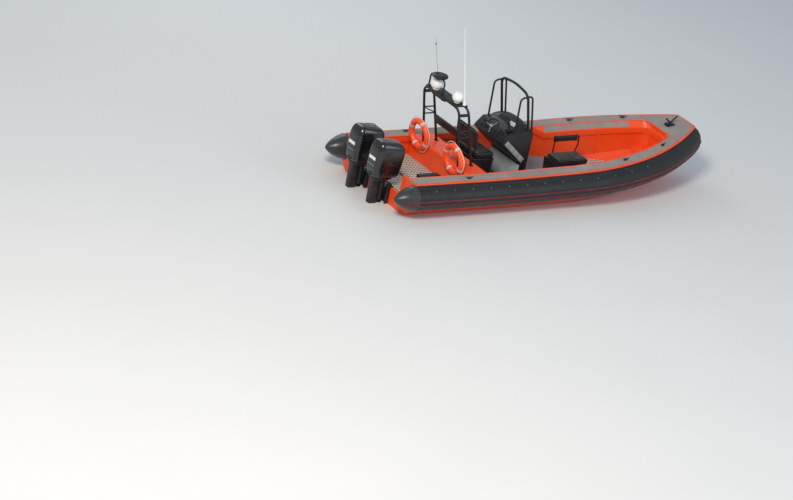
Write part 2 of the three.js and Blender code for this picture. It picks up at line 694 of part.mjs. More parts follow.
function propellerSolid() {
  const hub = alongLathe([[-712, 0], [-712, 36], [-690, 44], [-607, 50], [-607, 0]], 0, SHAFT_Z, 16);
  const blades = [0, 120, 240].map((degrees) => {
    const outline = [[30, -20], [90, -62], [150, -70], [184, -38], [190, 10], [160, 52], [90, 46], [30, 18]];
    const blade = extruded(outline.map(([r, w]) => [w, r]), 9, 0);
    blade.translate(0, 0, -4.5).rotateY(radians(62)).rotateX(Math.PI / 2);
    return toSolid(blade.rotateX(radians(degrees)).translate(-658, 0, SHAFT_Z));
  });
  return join(hub, blades);
}

const ENGINE_PIECES = [
  ["clamp", clampSolid()],
  ["swivel", swivelSolid()],
  ["leg", legSolid()],
  ["cowl", cowlSolid()],
  ["propeller", propellerSolid()],
];

function makeEngines() {
  for (const [side, sign] of SIDES) {
    for (const [name, solid] of ENGINE_PIECES) {
      node(name + "_" + side, "engine", solid.translate(0, sign * ENGINE_Y, 0));
    }
  }
}

const hull = hullSolid();
makeHullAndCollar(hull);
makePads(hull);
makeDecks();
makeArch();
makeLifebuoys();
makeConsole();
makeWheel();
makeSeat();
makeBench();
makeBitt();
makeEngines();

export default boat;
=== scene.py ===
"""Inshore rescue boat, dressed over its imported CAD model.

A rigid orange hull carries a black D-section collar, two outboards, an equipment arch, a helm console
with a handrail frame, a seat for two behind it and a bench ahead of it. Everything is in metres in the
boat's own frame: +X forward, +Y port, +Z up, with the origin on the centreline at the waterline.
"""

import logging
import math
from contextlib import contextmanager
from dataclasses import dataclass
from enum import Enum
from typing import Iterator, Sequence

import bmesh
import bpy
from mathutils import Matrix, Vector


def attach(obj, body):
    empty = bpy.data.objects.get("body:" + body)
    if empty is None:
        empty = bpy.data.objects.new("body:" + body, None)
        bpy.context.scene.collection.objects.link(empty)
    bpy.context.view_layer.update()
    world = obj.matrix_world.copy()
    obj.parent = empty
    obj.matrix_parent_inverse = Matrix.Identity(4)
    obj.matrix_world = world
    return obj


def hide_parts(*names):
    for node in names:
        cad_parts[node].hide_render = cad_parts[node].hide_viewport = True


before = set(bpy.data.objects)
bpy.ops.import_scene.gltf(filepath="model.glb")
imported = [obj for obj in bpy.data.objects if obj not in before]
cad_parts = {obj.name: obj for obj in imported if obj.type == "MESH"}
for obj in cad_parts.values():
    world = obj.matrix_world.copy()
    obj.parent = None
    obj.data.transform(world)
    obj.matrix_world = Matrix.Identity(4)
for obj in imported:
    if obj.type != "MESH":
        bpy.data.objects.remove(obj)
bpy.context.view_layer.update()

log = logging.getLogger("rescue_boat")
Point = Sequence[float]
Outline = Sequence[tuple[float, float]]
Mesh = bmesh.types.BMesh
Socket = bpy.types.NodeSocket


class Side(Enum):
    """The two sides of the boat, with the sign of their Y."""

    PORT = 1
    STARBOARD = -1

    @property
    def word(self) -> str:
        """The side's name as node names spell it."""
        return self.name.lower()

    @property
    def flip(self) -> Matrix:
        """What takes a shape made for the port side to this side."""
        return Matrix.Diagonal((1, self.value, 1, 1))


class Grain(Enum):
    """How a surface's relief is made."""

    FINE = "an even fine texture, as a mould or spray gun leaves"
    PEBBLE = "rounded pebbles, as on coated cloth and vinyl"
    GRIT = "sharp grit, as on non-slip sheet"
    BRUSHED = "fine lines along X"
    TWIST = "slanting strands, as on laid rope"


# Materials


def linear(hex_code: str) -> tuple[float, float, float, float]:
    """Turn an sRGB hex colour into linear light.

    Args:
        hex_code: six hex digits.

    Returns:
        Red, green, blue and an alpha of 1.
    """
    parts = [int(hex_code[i : i + 2], 16) / 255 for i in (0, 2, 4)]
    light = [p / 12.92 if p <= 0.04045 else ((p + 0.055) / 1.055) ** 2.4 for p in parts]
    return (light[0], light[1], light[2], 1.0)


class Canvas:
    """A material's node tree, with the piece's own coordinates to draw patterns on."""

    def __init__(self, tree: bpy.types.NodeTree) -> None:
        """Clear the tree and start it with the coordinates.

        Args:
            tree: the material's tree.
        """
        tree.nodes.clear()
        self.tree = tree
        self.place = self.add("ShaderNodeTexCoord").outputs["Object"]

    def add(self, kind: str, inputs: dict | None = None, **settings: object) -> bpy.types.Node:
        """Add one node.

        Args:
            kind: the node's type name.
            inputs: socket name or number to a value, or to the socket that feeds it.
            settings: attributes of the node itself.

        Returns:
            The new node.
        """
        node = self.tree.nodes.new(kind)
        for name, value in settings.items():
            setattr(node, name, value)
        for key, value in (inputs or {}).items():
            if isinstance(value, Socket):
                self.tree.links.new(value, node.inputs[key])
            else:
                node.inputs[key].default_value = value
        return node


@dataclass(frozen=True)
class Surface:
    """A finish: the real material's colour, gloss, age and relief. Sizes are in millimetres."""

    name: str
    colour: str
    roughness: float
    aged: str
    patch_mm: float = 260.0
    aged_share: float = 0.35
    grain: Grain = Grain.FINE
    grain_mm: float = 6.0
    depth_mm: float = 0.1
    metallic: float = 0.0
    ior: float = 1.5
    coat: float = 0.0
    sheen: float = 0.0

    def material(self) -> bpy.types.Material:
        """Make the finish's material, or return it if it is there.

        Returns:
            The material of this name.
        """
        found = bpy.data.materials.get(self.name)
        if found:
            return found
        made = bpy.data.materials.new(self.name)
        made.use_nodes = True
        on = Canvas(made.node_tree)
        shader = on.add(
            "ShaderNodeBsdfPrincipled",
            {
                "Base Color": self.colours(on),
                "Roughness": self.gloss(on),
                "Normal": self.relief(on),
                "Metallic": self.metallic,
                "IOR": self.ior,
                "Coat Weight": self.coat,
                "Coat Roughness": 0.12,
                "Sheen Weight": self.sheen,
            },
        )
        on.add("ShaderNodeOutputMaterial", {"Surface": shader.outputs[0]})
        return made

    def colours(self, on: Canvas) -> Socket:
        """Mix the clean and the aged colour in soft patches.

        Args:
            on: the material's canvas.

        Returns:
            The colour at each point.
        """
        cloud = on.add(
            "ShaderNodeTexNoise",
            {"Vector": on.place, "Scale": 1000 / self.patch_mm, "Detail": 6.0, "Roughness": 0.62},
        )
        share = on.add(
            "ShaderNodeMapRange",
            {"Value": cloud.outputs[0], "From Min": 0.42, "From Max": 0.72, "To Max": self.aged_share},
        )
        return on.add(
            "ShaderNodeMix",
            {0: share.outputs[0], 6: linear(self.colour), 7: linear(self.aged)},
            data_type="RGBA",
        ).outputs[2]

    def gloss(self, on: Canvas) -> Socket:
        """Vary the roughness a little, as handling and spray do.

        Args:
            on: the material's canvas.

        Returns:
            The roughness at each point.
        """
        smear = on.add(
            "ShaderNodeTexNoise", {"Vector": on.place, "Scale": 2600 / self.patch_mm, "Detail": 4.0}
        )
        spread = {
            "Value": smear.outputs[0],
            "From Min": 0.3,
            "From Max": 0.7,
            "To Min": max(self.roughness - 0.07, 0.03),
            "To Max": min(self.roughness + 0.09, 1.0),
        }
        return on.add("ShaderNodeMapRange", spread).outputs[0]

    def height(self, on: Canvas) -> Socket:
        """Draw the relief's height map.

        Args:
            on: the material's canvas.

        Returns:
            The height, from 0 to 1, at each point.
        """
        scale = 1000 / self.grain_mm
        if self.grain is Grain.PEBBLE:
            cells = {"Vector": on.place, "Scale": scale}
            return on.add("ShaderNodeTexVoronoi", cells, feature="SMOOTH_F1").outputs["Distance"]
        if self.grain is Grain.TWIST:
            return on.add(
                "ShaderNodeTexWave",
                {"Vector": on.place, "Scale": 0.314 * scale, "Distortion": 1.2, "Detail": 1.0},
                wave_type="BANDS",
                bands_direction="DIAGONAL",
            ).outputs[1]
        stretch = (0.04, 1.0, 1.0) if self.grain is Grain.BRUSHED else (1.0, 1.0, 1.0)
        laid = on.add("ShaderNodeMapping", {"Vector": on.place, "Scale": stretch}).outputs[0]
        detail = 8.0 if self.grain is Grain.GRIT else 3.0
        return on.add(
            "ShaderNodeTexNoise", {"Vector": laid, "Scale": scale, "Detail": detail}
        ).outputs[0]

    def relief(self, on: Canvas) -> Socket:
        """Turn the height map into a bump of its real depth.

        Args:
            on: the material's canvas.

        Returns:
            The bumped normal.
        """
        depth = {"Height": self.height(on), "Distance": self.depth_mm / 1000, "Strength": 0.9}
        return on.add("ShaderNodeBump", depth).outputs[0]


@dataclass(frozen=True)
class NonSlipSheet(Surface):
    """Non-slip sheet that is laid in lengths, with the deck's colour showing at the joints."""

    joint_colour: str = "c9603f"
    joints: tuple[float, ...] = ()
    joint_mm: float = 20.0

    def colours(self, on: Canvas) -> Socket:
        """Draw the deck's colour across the sheet at each joint.

        Args:
            on: the material's canvas.

        Returns:
            The colour at each point.
        """
        sheet = Surface.colours(self, on)
        along_boat = on.add("ShaderNodeSeparateXYZ", {"Vector": on.place}).outputs["X"]
        for x in self.joints:
            near = on.add(
                "ShaderNodeMath", {0: along_boat, 1: x, 2: self.joint_mm / 2000}, operation="COMPARE"
            )
            mix = {0: near.outputs[0], 6: sheet, 7: linear(self.joint_colour)}
            sheet = on.add("ShaderNodeMix", mix, data_type="RGBA").outputs[2]
        return sheet


@dataclass(frozen=True)
class OpenGrating(Surface):
    """Moulded grating: pale bars round square holes painted dark as the shade under the grating, left out
    over the plain middle of the sole.
    """

    # The holes' dark colour is painted shade: the shadow under the grating.
    hole_shade: str = "6a6764"
    mesh_mm: float = 76.0
    plain: tuple[float, float] = (1.9, 4.9)
    # The plain middle is a pale grey plate; its blue tint is painted reflection of the sky.
    plain_colour_and_sky_reflection: str = "8c979e"

    def holes(self, on: Canvas) -> Socket:
        """Draw the square holes.

        Args:
            on: the material's canvas.

        Returns:
            1 in a hole, 0 on a bar.
        """
        axes = on.add("ShaderNodeSeparateXYZ", {"Vector": on.place})
        inside = []
        for axis in ("X", "Y"):
            cell = on.add(
                "ShaderNodeMath", {0: axes.outputs[axis], 1: 1000 / self.mesh_mm}, operation="MULTIPLY"
            )
            wave = on.add("ShaderNodeMath", {0: cell.outputs[0], 1: 0.5}, operation="PINGPONG")
            edge = {"Value": wave.outputs[0], "From Min": 0.14, "From Max": 0.2}
            inside.append(on.add("ShaderNodeMapRange", edge).outputs[0])
        return on.add("ShaderNodeMath", {0: inside[0], 1: inside[1]}, operation="MULTIPLY").outputs[0]

    def colours(self, on: Canvas) -> Socket:
        """Colour the bars, the holes in painted shade and the plain middle, its blue-grey partly painted sky
        reflection.

        Args:
            on: the material's canvas.

        Returns:
            The colour at each point.
        """
        mix = {0: self.holes(on), 6: Surface.colours(self, on), 7: linear(self.hole_shade)}
        open_mesh = on.add("ShaderNodeMix", mix, data_type="RGBA").outputs[2]
        along_boat = on.add("ShaderNodeSeparateXYZ", {"Vector": on.place}).outputs["X"]
        middle, half = sum(self.plain) / 2, (self.plain[1] - self.plain[0]) / 2
        plain = on.add("ShaderNodeMath", {0: along_boat, 1: middle, 2: half}, operation="COMPARE")
        mix = {0: plain.outputs[0], 6: open_mesh, 7: linear(self.plain_colour_and_sky_reflection)}
        return on.add("ShaderNodeMix", mix, data_type="RGBA").outputs[2]

    def height(self, on: Canvas) -> Socket:
        """Sink the holes.

        Args:
            on: the material's canvas.

        Returns:
            The height at each point.
        """
        return on.add("ShaderNodeMath", {0: 1.0, 1: self.holes(on)}, operation="SUBTRACT").outputs[0]


# Gel coat on the laminated hull: hard and glossy, faded and scuffed in wide soft patches.
GEL_COAT = Surface(
    "orange_gel_coat", "f4521a", 0.34, "dc3f14",
    patch_mm=420, aged_share=0.5, grain_mm=14, depth_mm=0.08, coat=0.25,
)
# Woven cloth coated with synthetic rubber over foam: dull, pebbled, chalky where the sun has caught it.
COLLAR_SKIN = Surface(
    "black_coated_fabric", "101417", 0.5, "22272b", patch_mm=330, aged_share=0.5,
    grain=Grain.PEBBLE, grain_mm=9, depth_mm=0.25, sheen=0.05,
)
CONE_SKIN = Surface(
    "grey_coated_fabric", "2b3034", 0.34, "444a4e", patch_mm=240, aged_share=0.5,
    grain=Grain.PEBBLE, grain_mm=9, depth_mm=0.25, sheen=0.15,
)
# Extruded rubber strip, dyed dark red and scuffed pink-grey along its crown. On the collar's edge strip the
# same dark red is painted shade, standing for the orange gunwale edge in shadow.
STRAKE_RUBBER_AND_EDGE_SHADE = Surface("dark_red_rubber", "5c1a22", 0.5, "7a3a3f", patch_mm=180, aged_share=0.5)
# Non-slip sheet: grit in a soft grey binder. The grit is under a millimetre and drawn at 7 mm to show.
NON_SLIP = NonSlipSheet(
    "grey_non_slip_sheet", "8b8683", 0.86, "a29c97", patch_mm=300, aged_share=0.6,
    grain=Grain.GRIT, grain_mm=7, depth_mm=0.5, joints=(1.15, 2.3, 3.45, 4.4, 5.14, 6.1),
)
# Moulded glass-fibre grating with a dusty top. Its mesh is 38 mm and drawn at twice that to show. Its holes
# are painted dark as the shade under it, and its plain middle is partly tinted with painted sky reflection.
GRATING = OpenGrating(
    "moulded_grating", "dad7d1", 0.7, "bdb9b3", patch_mm=300, aged_share=0.5, depth_mm=9.0
)
# Powder coat on aluminium tube: satin, with a faint orange peel, drawn at 5 mm to show.
POWDER_COAT = Surface("black_powder_coat", "0f1113", 0.42, "212529", patch_mm=160, grain_mm=5)
# Glass-fibre moulding in black gel coat: a soft shine with light smears.
BLACK_MOULDING = Surface(
    "black_moulding", "0e1012", 0.46, "1b1e21", patch_mm=220, aged_share=0.4, grain_mm=9, coat=0.08
)
# Painted aluminium plate: satin, rubbed paler in small patches.
GREY_PANEL = Surface("grey_painted_panel", "8d9093", 0.55, "a5a7a8", patch_mm=120, aged_share=0.5)
# Gel coat in pale grey on the foot space's lining: a soft shine, dulled by boots.
PALE_GEL_COAT = Surface(
    "pale_grey_gel_coat", "a3aeb5", 0.5, "8b969d", patch_mm=160, aged_share=0.5, grain_mm=12
)
# Polyester paint under clear coat on the engine hoods: deep gloss, dusted with dried spray.
ENGINE_PAINT = Surface(
    "black_engine_paint", "101317", 0.26, "23282d",
    patch_mm=240, aged_share=0.4, grain_mm=12, depth_mm=0.02, coat=0.6,
)
# Cast aluminium under sea-water primer and black paint: slightly rough from the mould.
LEG_PAINT = Surface(
    "black_cast_paint", "16191c", 0.4, "2d3236", patch_mm=110, aged_share=0.45, grain_mm=4
)
# Moulded glass-filled plastic over the aerials: smooth and glossy, slightly chalky.
WHITE_PLASTIC = Surface(
    "white_radome_plastic", "eef0f0", 0.32, "d5d8d8", patch_mm=150, aged_share=0.5, coat=0.2
)
# Rotation-moulded polyethylene shell: slightly waxy and paler where it is rubbed.
BUOY_SHELL = Surface(
    "orange_buoy_shell", "ff4c1c", 0.42, "ff7446", patch_mm=90, aged_share=0.6, grain_mm=5
)
# Retro-reflective tape: pale grey beads in clear film.
REFLECTIVE_TAPE = Surface(
    "reflective_tape", "c3c4c3", 0.4, "d8cdc6", patch_mm=40, aged_share=0.6, grain_mm=5
)
# Laid polypropylene line: dull, with slanting strands.
WHITE_ROPE = Surface(
    "white_laid_rope", "e4ddd3", 0.75, "c9bfb2",
    patch_mm=60, grain=Grain.TWIST, grain_mm=14, depth_mm=1,
)
# Marine vinyl over foam: a leather grain of about 2 mm, drawn at 6 mm to show.
SEAT_VINYL = Surface(
    "black_marine_vinyl", "101114", 0.4, "1f2125", patch_mm=140, aged_share=0.5,
    grain=Grain.PEBBLE, grain_mm=6, depth_mm=0.2, sheen=0.1,
)
# Moulded polyurethane on the wheel's rim: dull and even.
GRIP_RUBBER = Surface("black_grip_rubber", "141517", 0.6, "26282b", patch_mm=60, grain_mm=3)
# Polished marine stainless steel, with fine lines from the wheel.
STAINLESS = Surface(
    "stainless_steel", "c9cccd", 0.22, "aaaeb0",
    patch_mm=60, grain=Grain.BRUSHED, grain_mm=2, depth_mm=0.02, metallic=1.0,
)
# Moulded nylon, weathered to a mid grey.
GREY_NYLON = Surface("grey_nylon", "4d5256", 0.5, "666b6f", patch_mm=60, grain_mm=4)
# Anti-glare glass over a display that is switched off, dark in itself: its pale, even colour is painted
# sheen, a reflection of the sky.
DISPLAY_PAINTED_SHEEN = Surface(
    "blank_display_glass", "b4bcc2", 0.18, "c6cdd2", patch_mm=90, aged_share=0.3, coat=0.4
)
# Ribbed rubber strap, bleached grey.
GREY_HOSE = Surface("grey_corrugated_hose", "5d6266", 0.55, "7a8084", patch_mm=60, grain_mm=6)
PALE_FLOOR = Surface(
    "pale_floor", "d9dde0", 0.8, "d2d7db", patch_mm=4000, aged_share=0.3, grain_mm=60, depth_mm=0.1
)


# Mesh tools


def circle_outline(radius: float, sides: int) -> list[tuple[float, float]]:
    """The corners of a regular outline of this many sides."""
    turns = [2 * math.pi * i / sides for i in range(sides)]
    return [(radius * math.cos(a), radius * math.sin(a)) for a in turns]


def rounded_outline(half_u: float, half_v: float, corner: float, steps: int = 4) -> list[tuple[float, float]]:
    """Return a rectangle with round corners.

    Args:
        half_u: half its width.
        half_v: half its height.
        corner: the corners' radius.
        steps: segments in each corner.

    Returns:
        Points in the section's own plane.
    """
    points = []
    for quarter, (su, sv) in enumerate(((1, 1), (-1, 1), (-1, -1), (1, -1))):
        for i in range(steps + 1):
            angle = math.pi / 2 * (quarter + i / steps)
            u = su * (half_u - corner) + corner * math.cos(angle)
            v = sv * (half_v - corner) + corner * math.sin(angle)
            points.append((u, v))
    return points


def axes_at(at: Vector, first: Vector, second: Vector, third: Vector) -> Matrix:
    """The place at a point whose own three axes look along the given ones."""
    return Matrix.Translation(at) @ Matrix((first, second, third)).transposed().to_4x4()


def facing(at: Point, axis: Point) -> Matrix:
    """The place at a point whose own Z looks along an axis."""
    return Matrix.Translation(Vector(at)) @ Vector(axis).to_track_quat("Z", "Y").to_matrix().to_4x4()


def along(path: Sequence[Point], closed: bool = False) -> list[Matrix]:
    """Return a place at each point of a path, facing along it without twist.

    Args:
        path: the points.
        closed: whether the last point joins the first.

    Returns:
        One matrix for each point, and the first again if the path is closed.
    """
    points = [Vector(p) for p in path]
    count = len(points)
    if closed:
        points = points + [points[0]]
    places = []
    normal = None
    for i, point in enumerate(points):
        before = points[i - 1] if i else (points[count - 1] if closed else points[0])
        after = points[i + 1] if i < len(points) - 1 else (points[1] if closed else points[-1])
        ahead = (after - before).normalized()
        if normal is None:
            normal = ahead.orthogonal().normalized()
        normal = (normal - normal.dot(ahead) * ahead).normalized()
        places.append(axes_at(point, normal, ahead.cross(normal), ahead))
    return places


def upright(path: Sequence[Point]) -> list[Matrix]:
    """Return a place at each point of a path, with the section's second axis kept upright.

    Args:
        path: the points.

    Returns:
        One matrix for each point.
    """
    points = [Vector(p) for p in path]
    places = []
    for i, point in enumerate(points):
        ahead = (points[min(i + 1, len(points) - 1)] - points[max(i - 1, 0)]).normalized()
        rise = Vector((0, 0, 1))
        rise = (rise - rise.dot(ahead) * ahead).normalized()
        places.append(axes_at(point, rise.cross(ahead), rise, ahead))
    return places


def bent(corners: Sequence[Point], bend: float, steps: int = 7) -> list[Vector]:
    """Round each inner corner of a path.

    Args:
        corners: the path's corners.
        bend: where the rounding starts before, and ends after, each corner.
        steps: points in each rounding.

    Returns:
        The rounded path.
    """
    at = [Vector(c) for c in corners]
    path = [at[0]]
    for before, corner, after in zip(at, at[1:], at[2:]):
        start = corner + (before - corner).normalized() * bend
        end = corner + (after - corner).normalized() * bend
        for i in range(steps + 1):
            t = i / steps
            path.append(start.lerp(corner, t).lerp(corner.lerp(end, t), t))
    return path + [at[-1]]


def sweep(
    bm: Mesh, outline: Outline, places: Sequence[Matrix], capped: bool = True
) -> list[bmesh.types.BMVert]:
    """Extrude an outline through a row of places.

    Args:
        bm: the mesh to add to.
        outline: the section's points, in its own plane.
        places: a matrix for each section, from that plane to the boat.
        capped: whether the two ends are closed.

    Returns:
        Every vertex of the sweep.
    """
    ring = [bm.verts.new(places[0] @ Vector((u, v, 0))) for u, v in outline]
    edges = [bm.edges.new((ring[i - 1], ring[i])) for i in range(len(ring))]
    every = list(ring)
    first = list(edges)
    for before, after in zip(places, places[1:]):
        made = bmesh.ops.extrude_edge_only(bm, edges=edges)["geom"]
        fresh = [g for g in made if isinstance(g, bmesh.types.BMVert)]
        edges = [g for g in made if isinstance(g, bmesh.types.BMEdge) and all(v in fresh for v in g.verts)]
        bmesh.ops.transform(bm, matrix=after @ before.inverted(), verts=fresh)
        every += fresh
    if capped:
        bmesh.ops.edgeloop_fill(bm, edges=first)
        bmesh.ops.edgeloop_fill(bm, edges=edges)
    return every


def tube(bm: Mesh, path: Sequence[Point], radius: float, sides: int = 14) -> None:
    """Add a round tube along a path."""
    sweep(bm, circle_outline(radius, sides), along(path))


def hoop(bm: Mesh, path: Sequence[Point], radius: float, sides: int) -> None:
    """Add a round tube along a closed path."""
    verts = sweep(bm, circle_outline(radius, sides), along(path, closed=True), capped=False)
    bmesh.ops.remove_doubles(bm, verts=verts, dist=radius * 0.2)


def tapered(bm: Mesh, path: Sequence[Point], radii: Sequence[float], sides: int = 14) -> None:
    """Add a tube with its own radius at each point of its path."""
    places = [place @ Matrix.Diagonal((r, r, 1, 1)) for place, r in zip(along(path), radii)]
    sweep(bm, circle_outline(1.0, sides), places)


def block(
    bm: Mesh, low: Point, high: Point, rounding: float, steps: int = 2, place: Matrix | None = None
) -> None:
    """Add a box with rounded edges.

    Args:
        bm: the mesh to add to.
        low: its lowest corner.
        high: its highest corner.
        rounding: the edges' radius.
        steps: segments in the rounding.
        place: from the box's own frame to the boat's, where they differ.
    """
    lowest, highest = Vector(low), Vector(high)
    made = bmesh.ops.create_cube(bm, size=1.0)["verts"]
    bmesh.ops.scale(bm, vec=highest - lowest, verts=made)
    bmesh.ops.translate(bm, vec=(lowest + highest) / 2, verts=made)
    edges = list({e for v in made for e in v.link_edges})
    bevelled = bmesh.ops.bevel(
        bm, geom=edges, offset=rounding, segments=steps, profile=0.5, affect="EDGES", material=-1
    )
    if place:
        corners = list({v for f in bevelled["faces"] for v in f.verts})
        bmesh.ops.transform(bm, matrix=place, verts=corners)


def lathe(bm: Mesh, profile: Outline, place: Matrix, steps: int = 32) -> None:
    """Spin a profile about an axis.

    Args:
        bm: the mesh to add to.
        profile: points as (radius, height along the axis).
        place: from the axis's own frame, with the axis along Z, to the boat.
        steps: segments in the full turn.
    """
    there = set(bm.verts)
    verts = [bm.verts.new((r, 0, h)) for r, h in profile]
    edges = [bm.edges.new(pair) for pair in zip(verts, verts[1:])]
    bmesh.ops.spin(
        bm, geom=verts + edges, axis=(0, 0, 1), cent=(0, 0, 0), angle=2 * math.pi, steps=steps, use_merge=True
    )
    bmesh.ops.remove_doubles(bm, verts=[v for v in bm.verts if v not in there], dist=1e-6)
    bmesh.ops.transform(bm, matrix=place, verts=[v for v in bm.verts if v not in there])


def stud(
    bm: Mesh, place: Matrix, radius: float, rim: float, top: float, neck: float = 0.0, sides: int = 12
) -> None:
    """Add a bolt's head, or with a neck the round foot of a post.

    Args:
        bm: the mesh to add to.
        place: where it stands, with its axis along Z.
        radius: its radius.
        rim: the height of its rim.
        top: the height of its middle.
        neck: the radius of its flat top.
        sides: its corners.
    """
    profile = [(0, 0), (radius, 0), (radius, rim), (neck, top)]
    lathe(bm, profile + [(0, top)] if neck else profile, place, sides)


def stand(name: str, data: bpy.types.ID) -> bpy.types.Object:
    """Put an object with this data in the scene.

    Args:
        name: the object's name.
        data: its mesh, lamp or camera.

    Returns:
        The object.
    """
    made = bpy.data.objects.new(name, data)
    bpy.context.scene.collection.objects.link(made)
    return made


def settle(name: str, bm: Mesh, finish: Surface) -> bpy.types.Object:
    """Turn a mesh that is being shaped into an object.

    Args:
        name: the object's name.
        bm: the mesh, which is used up.
        finish: its surface.

    Returns:
        The object.
    """
    mesh = bpy.data.meshes.new(name)
    bm.to_mesh(mesh)
    bm.free()
    mesh.materials.append(finish.material())
    return stand(name, mesh)


def piece(
    name: str,
    bm: Mesh,
    finish: Surface,
    body: str = "boat",
    replaced: str = "",
    sharp: float = 38.0,
) -> bpy.types.Object:
    """Finish a mesh as a piece of the boat.

    Args:
        name: the piece's name.
        bm: its mesh, in the boat's frame.
        finish: its surface.
        body: the CAD body that it rides on.
        replaced: the CAD node that it stands for.
        sharp: the angle in degrees from which an edge stays sharp.

    Returns:
        The object.
    """
    made = settle(name, bm, finish)
    for polygon in made.data.polygons:
        polygon.use_smooth = True
    made.data.set_sharp_from_angle(angle=math.radians(sharp))
    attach(made, body)
    if replaced:
        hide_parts(replaced)
    log.info("%s: %d faces on %s", name, len(made.data.polygons), body)
    return made


@contextmanager
def new_piece(
    name: str,
    finish: Surface,
    body: str = "boat",
    replaced: str = "",
    slot: str = "",
    sharp: float = 38.0,
    place: Matrix | None = None,
) -> Iterator[Mesh]:
    """Give an empty mesh to shape, and finish it as a piece afterwards, its faces turned outwards.

    Args:
        name: the piece's name.
        finish: its surface.
        body: the CAD body that it rides on.
        replaced: the CAD node that it stands for.
        slot: the record's material slot, if it takes its finish from one; not used.
        sharp: the angle in degrees from which an edge stays sharp.
        place: from the frame that it is shaped in to the boat's, where they differ.

    Yields:
        The mesh to shape.
    """
    bm = bmesh.new()
    yield bm
    bmesh.ops.recalc_face_normals(bm, faces=bm.faces)
    if place:
        bmesh.ops.transform(bm, matrix=place, verts=bm.verts)
    piece(name, bm, finish, body, replaced, sharp)


def dress(node: str, finish: Surface) -> None:
    """Give a CAD node its finish.

    Args:
        node: the node's name.
        finish: its surface.
    """
    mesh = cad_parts[node].data
    mesh.materials.clear()
    mesh.materials.append(finish.material())
    log.info("%s: CAD node in %s", node, finish.name)


def merged_copy(node: str) -> Mesh:
    """Copy a CAD node's mesh and merge its loose triangles.

    Args:
        node: the node's name.

    Returns:
        The merged mesh.
    """
    bm = bmesh.new()
    bm.from_mesh(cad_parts[node].data)
    bmesh.ops.remove_doubles(bm, verts=bm.verts, dist=2e-5)
    bmesh.ops.dissolve_degenerate(bm, edges=bm.edges, dist=1e-5)
    return bm


def softened(bm: Mesh, width: float, steps: int, sharp: float = 35.0) -> Mesh:
    """Round the sharp edges of a CAD node's copy.

    Args:
        bm: the merged copy.
        width: the edges' rounding.
        steps: segments in the rounding.
        sharp: the angle in degrees from which an edge is rounded.

    Returns:
        The same mesh.
    """
    bmesh.ops.dissolve_limit(bm, angle_limit=math.radians(0.5), verts=bm.verts, edges=bm.edges)
    edges = [e for e in bm.edges if len(e.link_faces) == 2 and e.calc_face_angle(0.0) > math.radians(sharp)]
    bmesh.ops.bevel(
        bm, geom=edges, offset=width, segments=steps, profile=0.5, affect="EDGES", material=-1,
        clamp_overlap=True,
    )
    return bm


# The gunwale's line, which the collar, the beads, the pads and the cleats follow


@dataclass(frozen=True)
class GunwaleFrame:
    """One hull frame at the gunwale. turn is the outward normal's angle in degrees from the beam."""

    x: float
    y: float
    top: float
    turn: float
    walk: float
    bulge: float

    def mirrored(self) -> "GunwaleFrame":
        """The same frame on the other side."""
        return GunwaleFrame(self.x, -self.y, self.top, 180 - self.turn, self.walk, self.bulge)

    def place(self, inboard: float = 0.0, up: float = 0.0) -> Matrix:
        """Return a section's place at this frame.

        Args:
            inboard: the distance in from the gunwale's edge.
            up: the height over the gunwale.

        Returns:
            A matrix whose first axis points outboard and whose second points up.
        """
        angle = math.radians(self.turn)
        out = Vector((math.sin(angle), math.cos(angle), 0))
        rise = Vector((0, 0, 1))
        return axes_at(Vector((self.x, self.y, self.top + up)) - out * inboard, out, rise, out.cross(rise))


